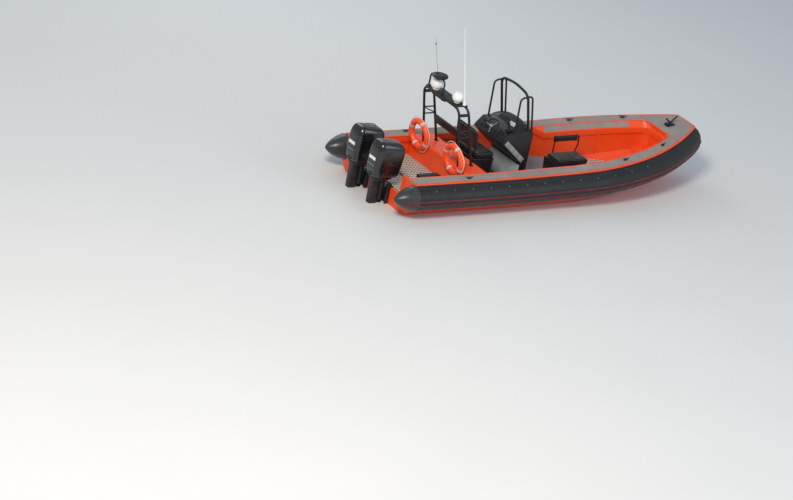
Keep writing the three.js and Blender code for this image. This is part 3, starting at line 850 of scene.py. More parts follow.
@dataclass
class Gunwale:
    """The gunwale from the port quarter round the bow to the starboard quarter."""

    steps: int = 5
    rows: tuple[tuple[float, ...], ...] = (
        # x, half, top, turn, walk, bulge
        (0.0, 1.225, 0.720, 0, 0.300, 0.262),
        (2.2, 1.225, 0.720, 0, 0.300, 0.262),
        (4.0, 1.212, 0.748, 3, 0.300, 0.262),
        (4.75, 1.180, 0.784, 7, 0.298, 0.262),
        (5.4, 1.093, 0.840, 11, 0.292, 0.262),
        (5.94, 0.967, 0.900, 16, 0.284, 0.262),
        (6.33, 0.834, 0.952, 21, 0.275, 0.260),
        (6.73, 0.664, 1.015, 25, 0.262, 0.255),
        (7.05, 0.500, 1.075, 29, 0.250, 0.245),
        (7.3, 0.347, 1.128, 37, 0.250, 0.225),
        (7.362, 0.292, 1.141, 60, 0.250, 0.200),
        (7.38, 0.235, 1.145, 80, 0.250, 0.175),
    )

    def at(self, x: float, side: Side) -> GunwaleFrame:
        """Return the frame at a distance from the stern, straight between the table's rows.

        Args:
            x: the distance from the stern.
            side: which side.

        Returns:
            The frame.
        """
        rows = self.rows
        i = max(1, next((k for k, row in enumerate(rows) if row[0] >= x), len(rows) - 1))
        t = (x - rows[i - 1][0]) / (rows[i][0] - rows[i - 1][0])
        found = GunwaleFrame(*(a + (b - a) * t for a, b in zip(rows[i - 1], rows[i])))
        return found if side is Side.PORT else found.mirrored()

    def round(self) -> list[GunwaleFrame]:
        """Return the smooth line of frames round the whole boat.

        Returns:
            Frames from the port quarter to the starboard quarter.
        """
        port = [GunwaleFrame(*row) for row in self.rows]
        known = port + [f.mirrored() for f in reversed(port)]
        table = [(f.x, f.y, f.top, f.turn, f.walk, f.bulge) for f in known]
        smooth = []
        for i in range(len(table) - 1):
            before, start, end, after = (table[max(0, min(len(table) - 1, i + k))] for k in (-1, 0, 1, 2))
            for step in range(self.steps):
                t = step / self.steps
                columns = []
                for p, a, b, n in zip(before, start, end, after):
                    ma, mb = (b - p) / 2, (n - a) / 2
                    columns.append(
                        (2 * t**3 - 3 * t**2 + 1) * a
                        + (t**3 - 2 * t**2 + t) * ma
                        + (3 * t**2 - 2 * t**3) * b
                        + (t**3 - t**2) * mb
                    )
                smooth.append(GunwaleFrame(*columns))
        return smooth + [known[-1]]

    def cockpit_edge(self, x: float, narrow: float = 1.0) -> tuple[float, float]:
        """Return where the side deck ends at the cockpit.

        Args:
            x: the distance from the stern.
            narrow: the share of the width left at the cockpit's round bow end.

        Returns:
            The half-width and the height.
        """
        f = self.at(x, Side.PORT)
        return (f.y - f.walk / math.cos(math.radians(f.turn))) * narrow, f.top


GUNWALE = Gunwale()
LIP = 0.03
COLLAR_HALF = 0.25


# Sub-assemblies


@dataclass
class Collar:
    """The D-section collar with its strakes, a dark red strip of painted shade under the gunwale's edge,
    retaining buttons and end cones.
    """

    segments: int = 18
    flatness: float = 0.9988
    back: float = 0.0297
    strakes: tuple[tuple[str, float, float, float], ...] = (
        # name, angle above the collar's middle, half its height, how far it stands proud
        ("strake_upper", 4, 0.018, 0.016),
        ("strake_lower", -16, 0.015, 0.014),
    )
    button_angle: float = 50.0
    button_start: float = 0.4
    button_pitch: float = 0.43
    button_count: int = 13
    button_profile: Outline = ((0, 0), (0.019, 0), (0.019, 0.004), (0.012, 0.007), (0, 0.008))
    cone_length: float = 0.44
    cone_y: float = 1.207
    cone_z: float = 0.44
    cone_profile: Outline = (
        # radius, distance ahead of the tip
        (0, 0), (0.016, 0.006), (0.034, 0.018), (0.062, 0.045), (0.106, 0.095), (0.150, 0.160),
        (0.188, 0.235), (0.216, 0.310), (0.235, 0.370), (0.246, 0.420), (0.249, 0.4397), (0, 0.4397),
    )
    cone_tapes: Outline = ((0.30, 0.2135), (0.405, 0.2435))
    strake_ends: Outline = (
        # distance ahead of the cone's tip, share of the strake's section
        (0.439, 1.0), (0.37, 0.96), (0.31, 0.9), (0.235, 0.8), (0.16, 0.66), (0.10, 0.5),
    )

    def middle(self, at: GunwaleFrame) -> Matrix:
        """The place of the middle of the collar's flat back."""
        return at.place(inboard=self.back, up=-LIP - COLLAR_HALF)

    def on_skin(self, at: GunwaleFrame, degrees: float, sunk: float) -> Matrix:
        """Return a place on the collar's skin.

        Args:
            at: where along the boat.
            degrees: the angle above the collar's middle.
            sunk: how deep in the skin it starts.

        Returns:
            A matrix whose first axis points straight out of the skin.
        """
        angle = math.radians(degrees)
        out = Matrix.Translation((at.bulge * math.cos(angle), COLLAR_HALF * math.sin(angle), 0))
        lean = math.atan2(at.bulge * math.sin(angle), COLLAR_HALF * math.cos(angle))
        return self.middle(at) @ out @ Matrix.Rotation(lean, 4, "Z") @ Matrix.Translation((-sunk, 0, 0))

    def strake_outline(self, half: float, proud: float) -> Outline:
        """The crowned section of a strake, out of the skin and up it."""
        return [(0, -half), (proud * 0.75, -half * 0.8), (proud, 0), (proud * 0.75, half * 0.8), (0, half)]

    def on_cone(self, side: Side, ahead: float, degrees: float) -> Matrix:
        """Return a strake section's place on an end cone.

        Args:
            side: which cone.
            ahead: the distance ahead of the cone's tip.
            degrees: the angle above the cone's middle.

        Returns:
            A matrix whose first axis points out of the cone and whose second points up round it.
        """
        rows = self.cone_profile
        i = next(k for k, (_, x) in enumerate(rows) if x >= ahead)
        (r0, x0), (r1, x1) = rows[i - 1], rows[i]
        radius = r0 + (r1 - r0) * (ahead - x0) / (x1 - x0)
        up, across = math.sin(math.radians(degrees)), math.cos(math.radians(degrees))
        out = Vector(((r0 - r1) / (x1 - x0), across, up)).normalized()
        rise = Vector((0, -up, across))
        at = Vector((ahead - self.cone_length, self.cone_y + radius * across, self.cone_z + radius * up))
        return side.flip @ axes_at(at - out * 0.001, out, rise, out.cross(rise))

    def skin(self) -> None:
        """Make the collar's skin, its strakes and the dark red strip that paints the shade under the
        gunwale's edge.
        """
        frames = GUNWALE.round()
        turns = [math.radians(-90 + 180 * i / self.segments) for i in range(self.segments + 1)]
        outline = [(math.cos(a), self.flatness * math.sin(a)) for a in turns]
        with new_piece("collar_skin", COLLAR_SKIN, replaced="collar", slot="collar_skin", sharp=50) as bm:
            places = [self.middle(f) @ Matrix.Diagonal((f.bulge, COLLAR_HALF, 1, 1)) for f in frames]
            sweep(bm, outline, places)
        for name, degrees, half, proud in self.strakes:
            with new_piece(name + "_rubber", STRAKE_RUBBER_AND_EDGE_SHADE, replaced=name, slot="maroon_strake") as bm:
                sweep(bm, self.strake_outline(half, proud), [self.on_skin(f, degrees, 0.001) for f in frames])
        # The dark red strip under the gunwale's lip is painted shade: it stands for the orange edge in
        # shadow.
        with new_piece("collar_edge_strip", STRAKE_RUBBER_AND_EDGE_SHADE, slot="maroon_strake") as bm:
            sweep(bm, circle_outline(0.009, 8), [f.place(inboard=-0.001, up=-LIP) for f in frames])

    def buttons(self) -> None:
        """Make the pale retaining buttons along the collar's upper side."""
        with new_piece("collar_buttons", GREY_NYLON) as bm:
            for side in Side:
                for i in range(self.button_count):
                    at = GUNWALE.at(self.button_start + i * self.button_pitch, side)
                    place = self.on_skin(at, self.button_angle, 0.002) @ Matrix.Rotation(math.pi / 2, 4, "Y")
                    lathe(bm, self.button_profile, place, 12)

    def cones(self) -> None:
        """Make the two end cones with their seam tapes and the strakes' thinning ends."""
        for side in Side:
            cone = "cone_" + side.word
            place = facing((-self.cone_length, side.value * self.cone_y, self.cone_z), (1, 0, 0))
            with new_piece(cone + "_skin", CONE_SKIN, replaced=cone, slot="cone_skin") as bm:
                lathe(bm, self.cone_profile, place, 40)
                for x, r in self.cone_tapes:
                    tape = [(r, x), (r + 0.004, x + 0.003), (r + 0.008, x + 0.03), (r + 0.002, x + 0.033)]
                    lathe(bm, tape + [(r - 0.01, x + 0.03), (r, x)], place, 40)
            with new_piece(cone + "_strakes", STRAKE_RUBBER_AND_EDGE_SHADE, slot="maroon_strake") as bm:
                for _, degrees, half, proud in self.strakes:
                    places = [
                        self.on_cone(side, ahead, degrees) @ Matrix.Diagonal((size, size, 1, 1))
                        for ahead, size in self.strake_ends
                    ]
                    sweep(bm, self.strake_outline(half, proud), places)

    def build(self) -> None:
        """Build the collar."""
        self.skin()
        self.buttons()
        self.cones()


@dataclass
class Hull:
    """The hull shell, its gunwale and coaming beads, coaming band, ribs, pads, gratings and cleats."""

    bead: float = 0.013
    coaming: tuple[tuple[float, float], ...] = (
        # distance from the stern, share of the cockpit's width left at its round bow end
        (0.08, 1), (2.2, 1), (4.0, 1), (4.4, 1), (4.75, 1), (5.4, 1), (5.94, 1), (6.33, 1), (6.58, 1),
        (6.65, 0.9), (6.69, 0.68),
    )
    band_stations: tuple[tuple[float, float, float], ...] = (
        # x, width and drop of the sloping edge above the band, narrowing at the bow end
        (0.09, 0.001, 1), (2.2, 0.001, 1), (4.0, 0.001, 1), (4.3, 0.001, 1), (4.5, 0.1, 1), (4.75, 0.1, 1),
        (5.4, 0.1, 1), (5.94, 0.1, 1), (6.33, 0.1, 1), (6.58, 0.1, 1), (6.65, 0.1, 0.9), (6.686, 0.1, 0.68),
    )
    band: float = 0.130
    overhang: float = 0.030
    ribs_at: tuple[tuple[float, float, float], ...] = (
        # x, width of the sloping edge above the rib, height of its foot
        (2.55, 0.0, 0.16), (3.7, 0.0, 0.16), (4.85, 0.1, 0.16), (5.74, 0.1, 0.24),
    )
    rib_width: float = 0.045
    rib_depth: float = 0.026
    cleats_at: tuple[tuple[float, float], ...] = ((6.35, 0.15), (5.22, 0.16), (1.32, 0.12))
    horns: tuple[Point, ...] = ((0, -0.085, 0.041), (0, -0.05, 0.035), (0, 0.05, 0.035), (0, 0.085, 0.041))

    def shell(self) -> None:
        """Dress the shell and the bulkhead, and lay the beads along the gunwale and the coaming."""
        bm = merged_copy("hull")
        bmesh.ops.dissolve_limit(bm, angle_limit=math.radians(0.4), verts=bm.verts, edges=bm.edges)
        shell = piece("hull_shell", bm, GEL_COAT, replaced="hull", sharp=24)
        even = shell.modifiers.new("even_shading", "WEIGHTED_NORMAL")
        even.keep_sharp = True
        dress("aft_locker", GEL_COAT)
        with new_piece("gunwale_bead", GEL_COAT, slot="orange_grp") as bm:
            places = [f.place(inboard=0.005, up=-0.011) for f in GUNWALE.round()]
            sweep(bm, circle_outline(self.bead, 10), places)
        edge = [(x, *GUNWALE.cockpit_edge(x, narrow)) for x, narrow in self.coaming]
        with new_piece("coaming_bead", GEL_COAT, slot="orange_grp") as bm:
            tube(bm, edge + [(x, -y, z) for x, y, z in reversed(edge)], 0.012, 10)

    def coaming_band(self) -> None:
        """Lay the wide rounded band under the coaming, round the whole cockpit."""
        thick, proud = self.overhang / 2 + 0.002, 0.003
        path = []
        for x, slope, narrow in self.band_stations:
            edge, top = GUNWALE.cockpit_edge(x, narrow)
            path.append(Vector((x, edge - slope - proud + thick, top - slope - self.band / 2)))
        path += [Vector((p.x, -p.y, p.z)) for p in reversed(path)]
        with new_piece("coaming_band", GEL_COAT, slot="orange_grp", sharp=50) as bm:
            sweep(bm, rounded_outline(thick, self.band / 2 + 0.002, 0.012), upright(path))

    def ribs(self) -> None:
        """Stand vertical ribs against the cockpit lining."""
        half = self.rib_width / 2
        with new_piece("lining_ribs", GEL_COAT, slot="orange_grp") as bm:
            for side in Side:
                for x, slope, foot in self.ribs_at:
                    edge, top = GUNWALE.cockpit_edge(x)
                    turn = -math.radians(GUNWALE.at(x, Side.PORT).turn)
                    lining = Matrix.Translation((x, edge - slope + self.overhang, 0))
                    place = side.flip @ (lining @ Matrix.Rotation(turn, 4, "Z"))
                    high = (half, 0.01, top - slope - self.band + 0.004)
                    block(bm, (-half, -self.rib_depth, foot), high, 0.01, place=place)

    def decks(self) -> None:
        """Dress the pads and the gratings."""
        for node in ("walkway_port", "walkway_starboard", "bow_pad", "edge_pad_port", "edge_pad_starboard"):
            dress(node, NON_SLIP)
        for node in ("sole", "well_deck"):
            dress(node, GRATING)

    def cleats(self) -> None:
        """Bolt a cleat of a base, two feet and a bar with horns at each place on the side decks."""
        with new_piece("deck_cleats", POWDER_COAT) as bm:
            for side in Side:
                for x, inboard in self.cleats_at:
                    at = GUNWALE.at(x, side).place(inboard=inboard, up=0.006)
                    place = at @ Matrix.Rotation(-math.pi / 2, 4, "X")
                    block(bm, (-0.016, -0.052, 0.0), (0.016, 0.052, 0.006), 0.002, place=place)
                    for y in (-0.025, 0.025):
                        block(bm, (-0.008, y - 0.010, 0.003), (0.008, y + 0.010, 0.032), 0.003, place=place)
                    tube(bm, [place @ Vector(p) for p in self.horns], 0.008, 8)

    def build(self) -> None:
        """Build the hull's dress."""
        self.shell()
        self.coaming_band()
        self.ribs()
        self.decks()
        self.cleats()


@dataclass
class Arch:
    """The equipment arch with its panel, tray, equipment case, lamp hoop, domes and antennas."""

    y: float = 0.6
    top: float = 1.95
    radius: float = 0.024
    bend: float = 0.17
    # each hoop's X at its top and at its foot
    aft: tuple[float, float] = (1.12, 1.393)
    fore: tuple[float, float] = (1.34, 1.70)
    deck: float = 0.7503
    tray: float = 1.9843
    rungs: tuple[tuple[float, float, float, int], ...] = (
        # height on the aft leg, height on the fore leg, radius, sides
        (1.48, 1.48, 0.014, 12), (1.34, 1.34, 0.014, 12), (1.47, 1.35, 0.011, 12),
        (1.79, 1.79, 0.008, 8), (1.84, 1.84, 0.008, 8),
    )
    gusset_z: float = 1.815
    panel_z: float = 1.232
    panel_half: float = 0.09
    tray_half: float = 0.53
    tray_x: tuple[float, float] = (1.096, 1.364)
    # the lowest and the highest corner of the case and of its lid's rim
    case_box: tuple[Point, Point] = ((1.15, -0.06, 1.865), (1.31, 0.38, 1.957))
    case_rim: tuple[Point, Point] = ((1.144, -0.066, 1.885), (1.316, 0.386, 1.897))
    case_straps_y: tuple[float, float] = (0.03, 0.29)
    tray_bolts_y: tuple[float, ...] = (-0.44, -0.18, 0.08, 0.42)
    glands_y: tuple[float, ...] = (0.08, 0.14, 0.20, 0.34)
    lamp_x: float = 1.15
    lamp_top: float = 2.25
    lamp_ends: tuple[float, float] = (0.505, 0.03)
    disc_at: Point = (1.14, 0.21, 0)
    disc_profile: Outline = (
        # radius, height over the waterline
        (0, 2.255), (0.10, 2.255), (0.125, 2.260), (0.148, 2.272), (0.158, 2.285), (0.160, 2.299),
        (0.156, 2.312), (0.143, 2.321), (0.10, 2.327), (0.05, 2.329), (0, 2.330),
    )
    domes_at: tuple[tuple[Side, float, float, float], ...] = (
        # side, x, y, size against the profile
        (Side.PORT, 1.175, 0.295, 1.0), (Side.STARBOARD, 1.225, -0.35, 0.9),
    )
    dome_profile: Outline = (
        # radius, height over the tray
        (0, 0), (0.066, 0), (0.070, 0.004), (0.070, 0.020), (0.080, 0.032), (0.100, 0.046), (0.112, 0.066),
        (0.119, 0.090), (0.1215, 0.112), (0.1245, 0.114), (0.1245, 0.124), (0.121, 0.126), (0.119, 0.148),
        (0.112, 0.172), (0.100, 0.193), (0.084, 0.210), (0.062, 0.224), (0.036, 0.233), (0, 0.236),
    )
    mast_y: float = -0.495
    # X and Z of the mast's rod at its foot and tip
    mast_ends: Outline = ((1.252, 2.2143), (0.905, 3.60))
    mast_radii: Outline = (
        # share of the rod's length, radius
        (0, 0.015), (0.1, 0.0145), (0.11, 0.0125), (0.55, 0.010), (0.56, 0.009), (1, 0.006),
    )
    whip_y: float = 0.264

    def leg_x(self, ends: tuple[float, float], z: float) -> float:
        """The X of a leg, from its top and foot, at a height."""
        return ends[1] + (ends[0] - ends[1]) * (z - self.deck) / (self.top - self.deck)

    def side_frame(self, bm: Mesh, y: float) -> None:
        """Add the rungs, the gusset, the feet and their bolts of one side.

        Args:
            bm: the mesh to add to.
            y: where the side's legs stand.
        """
        for low, high, radius, sides in self.rungs:
            ends = [(self.leg_x(self.aft, low), y, low), (self.leg_x(self.fore, high), y, high)]
            tube(bm, ends, radius, sides)
        z = self.gusset_z
        aft, fore = self.leg_x(self.aft, z), self.leg_x(self.fore, z)
        block(bm, (aft, y - 0.006, z - 0.03), (fore, y + 0.006, z + 0.03), 0.003)
        for (_, foot), r in ((self.aft, 0.032), (self.fore, 0.045)):
            stud(bm, Matrix.Translation((foot, y, self.deck)), r, 0.009, 0.012, r - 0.003, 24)
            for turn in range(4):
                a = math.pi / 4 + turn * math.pi / 2
                at = (foot + (r - 0.008) * math.cos(a), y + (r - 0.008) * math.sin(a), self.deck + 0.011)
                stud(bm, Matrix.Translation(at), 0.005, 0.004, 0.006, sides=6)

    def tubes(self) -> None:
        """Bend the two hoops and weld what joins them."""
        with new_piece("arch_tubes", POWDER_COAT, replaced="arch_frame", slot="black_coating") as bm:
            for top, foot in (self.aft, self.fore):
                corners = [(foot, self.y, self.deck), (top, self.y, self.top)]
                corners += [(x, -y, z) for x, y, z in reversed(corners)]
                tube(bm, bent(corners, self.bend, 10), self.radius, 18)
            for side in Side:
                self.side_frame(bm, side.value * self.y)
            for y in (-0.43, 0.43):
                tube(bm, [(self.aft[0], y, self.top), (self.fore[0], y, self.top)], 0.016, 12)

    def boards(self) -> None:
        """Make the cross panel, with two long ribs on each face, and the tray with its folded edges."""
        rake = math.atan2(self.fore[1] - self.fore[0], self.top - self.deck)
        centre = Vector((self.fore[0] + (self.top - self.panel_z) * math.tan(rake), 0, self.panel_z))
        place = Matrix.Translation(centre) @ Matrix.Rotation(-rake, 4, "Y")
        half = self.panel_half
        with new_piece("arch_cross_panel", BLACK_MOULDING, replaced="arch_panel", slot="black_grp") as bm:
            block(bm, (-0.02, -0.5775, -half), (0.02, 0.5775, half), 0.008, 3, place)
            for z in (-0.045, 0.045):
                for x in (-0.02, 0.02):
                    block(bm, (x - 0.004, -0.56, z - 0.012), (x + 0.004, 0.56, z + 0.012), 0.003, place=place)
        half, (aft, fore) = self.tray_half, self.tray_x
        with new_piece("arch_equipment_tray", POWDER_COAT, replaced="arch_tray", slot="black_coating") as bm:
            block(bm, (aft, -half, 1.960), (fore, half, 1.984), 0.006)
            for x in (aft + 0.007, fore - 0.007):
                block(bm, (x - 0.006, 0.01 - half, 1.95), (x + 0.006, half - 0.01, 1.978), 0.003)
            for y in self.tray_bolts_y:
                for x in (1.13, 1.33):
                    stud(bm, Matrix.Translation((x, y, 1.983)), 0.009, 0.004, 0.006)

    def equipment(self) -> None:
        """Hang the equipment case, with its lid's rim, two straps and pale cable glands, under the tray."""
        with new_piece("arch_equipment_case", BLACK_MOULDING) as bm:
            block(bm, *self.case_box, 0.012, 3)
            block(bm, *self.case_rim, 0.004)
            for y in self.case_straps_y:
                block(bm, (1.146, y - 0.015, 1.861), (1.314, y + 0.015, 1.96), 0.003)
        with new_piece("equipment_case_glands", WHITE_PLASTIC) as bm:
            for y in self.glands_y:
                stud(bm, facing((1.15, y, 1.925), (-1, 0, 0)), 0.014, 0.012, 0.02, 0.008, 14)

    def lamp(self) -> None:
        """Bend the lamp hoop and hang the disc antenna in it."""
        x, low, high, (port, inner) = self.lamp_x, self.tray, self.lamp_top, self.lamp_ends
        with new_piece("lamp_hoop_tube", POWDER_COAT, replaced="lamp_hoop", slot="black_coating") as bm:
            corners = [(x, port, low), (x, port, high), (x, inner, high), (x, inner, low)]
            tube(bm, bent(corners, 0.09), 0.017, 16)
            for y in self.lamp_ends:
                stud(bm, Matrix.Translation((x, y, low)), 0.034, 0.005, 0.012, 0.022, 20)
        with new_piece("disc_antenna_cover", BLACK_MOULDING, replaced="disc_antenna", slot="black_grp") as bm:
            lathe(bm, self.disc_profile, Matrix.Translation(self.disc_at), 56)

    def domes(self) -> None:
        """Turn the two white domes and their seams."""
        for side, x, y, size in self.domes_at:
            node = "dome_" + side.word
            place = Matrix.Translation((x, y, self.tray)) @ Matrix.Scale(size, 4)
            with new_piece(node + "_shell", WHITE_PLASTIC, "boat", node, "white_plastic", 30) as bm:
                lathe(bm, self.dome_profile, place, 48)

    def antennas(self) -> None:
        """Make the white mast antenna, with its foot and ratchet mount, and the thin whip with its knobs."""
        low, y = self.tray, self.mast_y
        start, tip = (Vector((x, y, z)) for x, z in self.mast_ends)
        with new_piece("mast_antenna_rod", WHITE_PLASTIC, "boat", "mast_antenna", "white_plastic") as bm:
            stud(bm, Matrix.Translation((1.30, y, low)), 0.034, 0.05, 0.06, 0.030, 24)
            mount = [(1.30, y, low + 0.04), (1.275, y, low + 0.14), (1.25, y, low + 0.24)]
            tapered(bm, mount, (0.022, 0.02, 0.018))
            tapered(bm, [start.lerp(tip, t) for t, _ in self.mast_radii], [r for _, r in self.mast_radii])
        y = self.whip_y
        with new_piece("whip_antenna_rod", GREY_PANEL, replaced="whip_antenna") as bm:
            tapered(bm, [(1.108, y, 2.345), (0.99, y, 2.715), (0.872, y, 3.085)], (0.005, 0.0045, 0.004), 8)
        with new_piece("whip_antenna_knobs", BLACK_MOULDING, replaced="whip_antenna", slot="black_grp") as bm:
            tapered(bm, [(1.112, y, 2.3265), (1.109, y, 2.34), (1.107, y, 2.352)], (0.016, 0.015, 0.012))
            ball = bmesh.ops.create_uvsphere(bm, u_segments=16, v_segments=10, radius=0.016)["verts"]
            bmesh.ops.translate(bm, vec=(0.917, y, 2.945), verts=ball)

    def build(self) -> None:
        """Build the arch and what it carries."""
        self.tubes()
        self.boards()
        self.equipment()
        self.lamp()
        self.domes()
        self.antennas()


@dataclass
class Lifebuoys:
    """The two lifebuoys with their bands and grab lines, hung on the arch's aft legs."""

    ring: float = 0.262
    section: float = 0.060
    centre: tuple[float, float, float] = (1.2577, 0.595, 0.901)
    rake: float = math.atan2(0.0854, 0.518)
    band_turns: tuple[int, ...] = (25, 115, 205, 295)
    band_half: float = 5.5
    slack: float = 0.028

    def arc(self, start: float, end: float, steps: int) -> list[Vector]:
        """Points round the ring's centreline between two angles in degrees, in the ring's own plane."""
        turns = [math.radians(start + (end - start) * i / steps) for i in range(steps + 1)]
        return [Vector((self.ring * math.cos(a), self.ring * math.sin(a), 0)) for a in turns]

    def grab_line(self) -> list[Vector]:
        """Return the grab line's path, held at the bands and slack between them.

        Returns:
            The points of the closed path, in the ring's own plane.
        """
        path = []
        for start in self.band_turns:
            for i in range(16):
                t = i / 16
                a = math.radians(start + 90 * t)
                far = self.ring + self.section + 0.007 + self.slack * math.sin(math.pi * t) ** 2
                path.append(Vector((far * math.cos(a), far * math.sin(a), 0)))
        return path

    def build(self) -> None:
        """Build both lifebuoys."""
        x, y, z = self.centre
        for side in Side:
            node = "lifebuoy_" + side.word
            place = Matrix.Translation((x, side.value * y, z)) @ Matrix.Rotation(-self.rake, 4, "Y")
            place = place @ Matrix.Rotation(math.pi / 2, 4, "Y")
            with new_piece(
                node + "_shell", BUOY_SHELL, replaced=node, slot="lifebuoy_foam", sharp=60, place=place
            ) as bm:
                hoop(bm, self.arc(0, 355, 71), self.section, 24)
            with new_piece(node + "_bands", REFLECTIVE_TAPE, sharp=60, place=place) as bm:
                for turn in self.band_turns:
                    path = self.arc(turn - self.band_half, turn + self.band_half, 6)
                    tube(bm, path, self.section + 0.0022, 24)
            with new_piece(node + "_grab_line", WHITE_ROPE, sharp=60, place=place) as bm:
                hoop(bm, self.grab_line(), 0.0065, 8)


@dataclass
class Cushion:
    """One padded piece: a rounded block that swells under its vinyl, with sewn channels."""

    name: str
    low: tuple[float, float, float]
    high: tuple[float, float, float]
    rounding: float = 0.028
    cap: float = 0.012
    # each sewn channel's axis and its place on that axis
    channels: tuple[tuple[int, float], ...] = ()
    lean: float = 0.0

    def keep(self, made: bpy.types.Object) -> None:
        """Bake what the modifiers show into the object's own mesh.

        Args:
            made: the object.
        """
        graph = bpy.context.evaluated_depsgraph_get()
        baked = bpy.data.meshes.new_from_object(made.evaluated_get(graph))
        made.modifiers.clear()
        made.data = baked

    def remesh(self, made: bpy.types.Object, voxel: float) -> None:
        """Rebuild the cushion from even faces.

        Args:
            made: the cushion's object.
            voxel: the faces' size.
        """
        even = made.modifiers.new("remesh", "REMESH")
        even.mode = "VOXEL"
        even.voxel_size = voxel
        self.keep(made)

    def swell(self, made: bpy.types.Object) -> None:
        """Swell the cushion with a short cloth simulation and keep the result.

        Args:
            made: the cushion's object.
        """
        rest = [v.co.copy() for v in made.data.vertices]
        cloth = made.modifiers.new("cloth", "CLOTH")
        cloth.settings.use_pressure = True
        cloth.settings.uniform_pressure_force = 4.0
        cloth.settings.effector_weights.gravity = 0.0
        cloth.settings.quality = 4
        cloth.collision_settings.use_collision = False
        scene = bpy.context.scene
        for number in range(1, 21):
            scene.frame_set(number)
        self.keep(made)
        scene.frame_set(1)
        for vertex, start in zip(made.data.vertices, rest):
            moved = vertex.co - start
            if moved.length > self.cap:
                vertex.co = start + moved.normalized() * self.cap
        fine = made.modifiers.new("fine", "SUBSURF")
        fine.levels = fine.render_levels = 1
        self.keep(made)

    def sew(self, made: bpy.types.Object) -> None:
        """Pull the sewn channels in.

        Args:
            made: the cushion's object.
        """
        middle = (Vector(self.low) + Vector(self.high)) / 2
        for vertex in made.data.vertices:
            for axis, at in self.channels:
                away = (vertex.co[axis] - at) / 0.014
                vertex.co += (middle - vertex.co) * (0.12 * math.exp(-away * away))

    def build(self, node: str) -> None:
        """Build the cushion.

        Args:
            node: the CAD node that it replaces.
        """
        bm = bmesh.new()
        inset = self.cap * 0.7
        block(bm, [v + inset for v in self.low], [v - inset for v in self.high], self.rounding, 4)
        bmesh.ops.recalc_face_normals(bm, faces=bm.faces)
        made = settle(self.name, bm, SEAT_VINYL)
        self.remesh(made, 0.007)
        self.swell(made)
        self.sew(made)
        if self.lean:
            base = Vector((self.low[0], 0, self.low[2]))
            turn = Matrix.Translation(base) @ Matrix.Rotation(self.lean, 4, "Y") @ Matrix.Translation(-base)
            made.data.transform(turn)
        for polygon in made.data.polygons:
            polygon.use_smooth = True
        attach(made, "boat")
        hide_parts(node)
        log.info("%s: %d faces on boat", self.name, len(made.data.polygons))


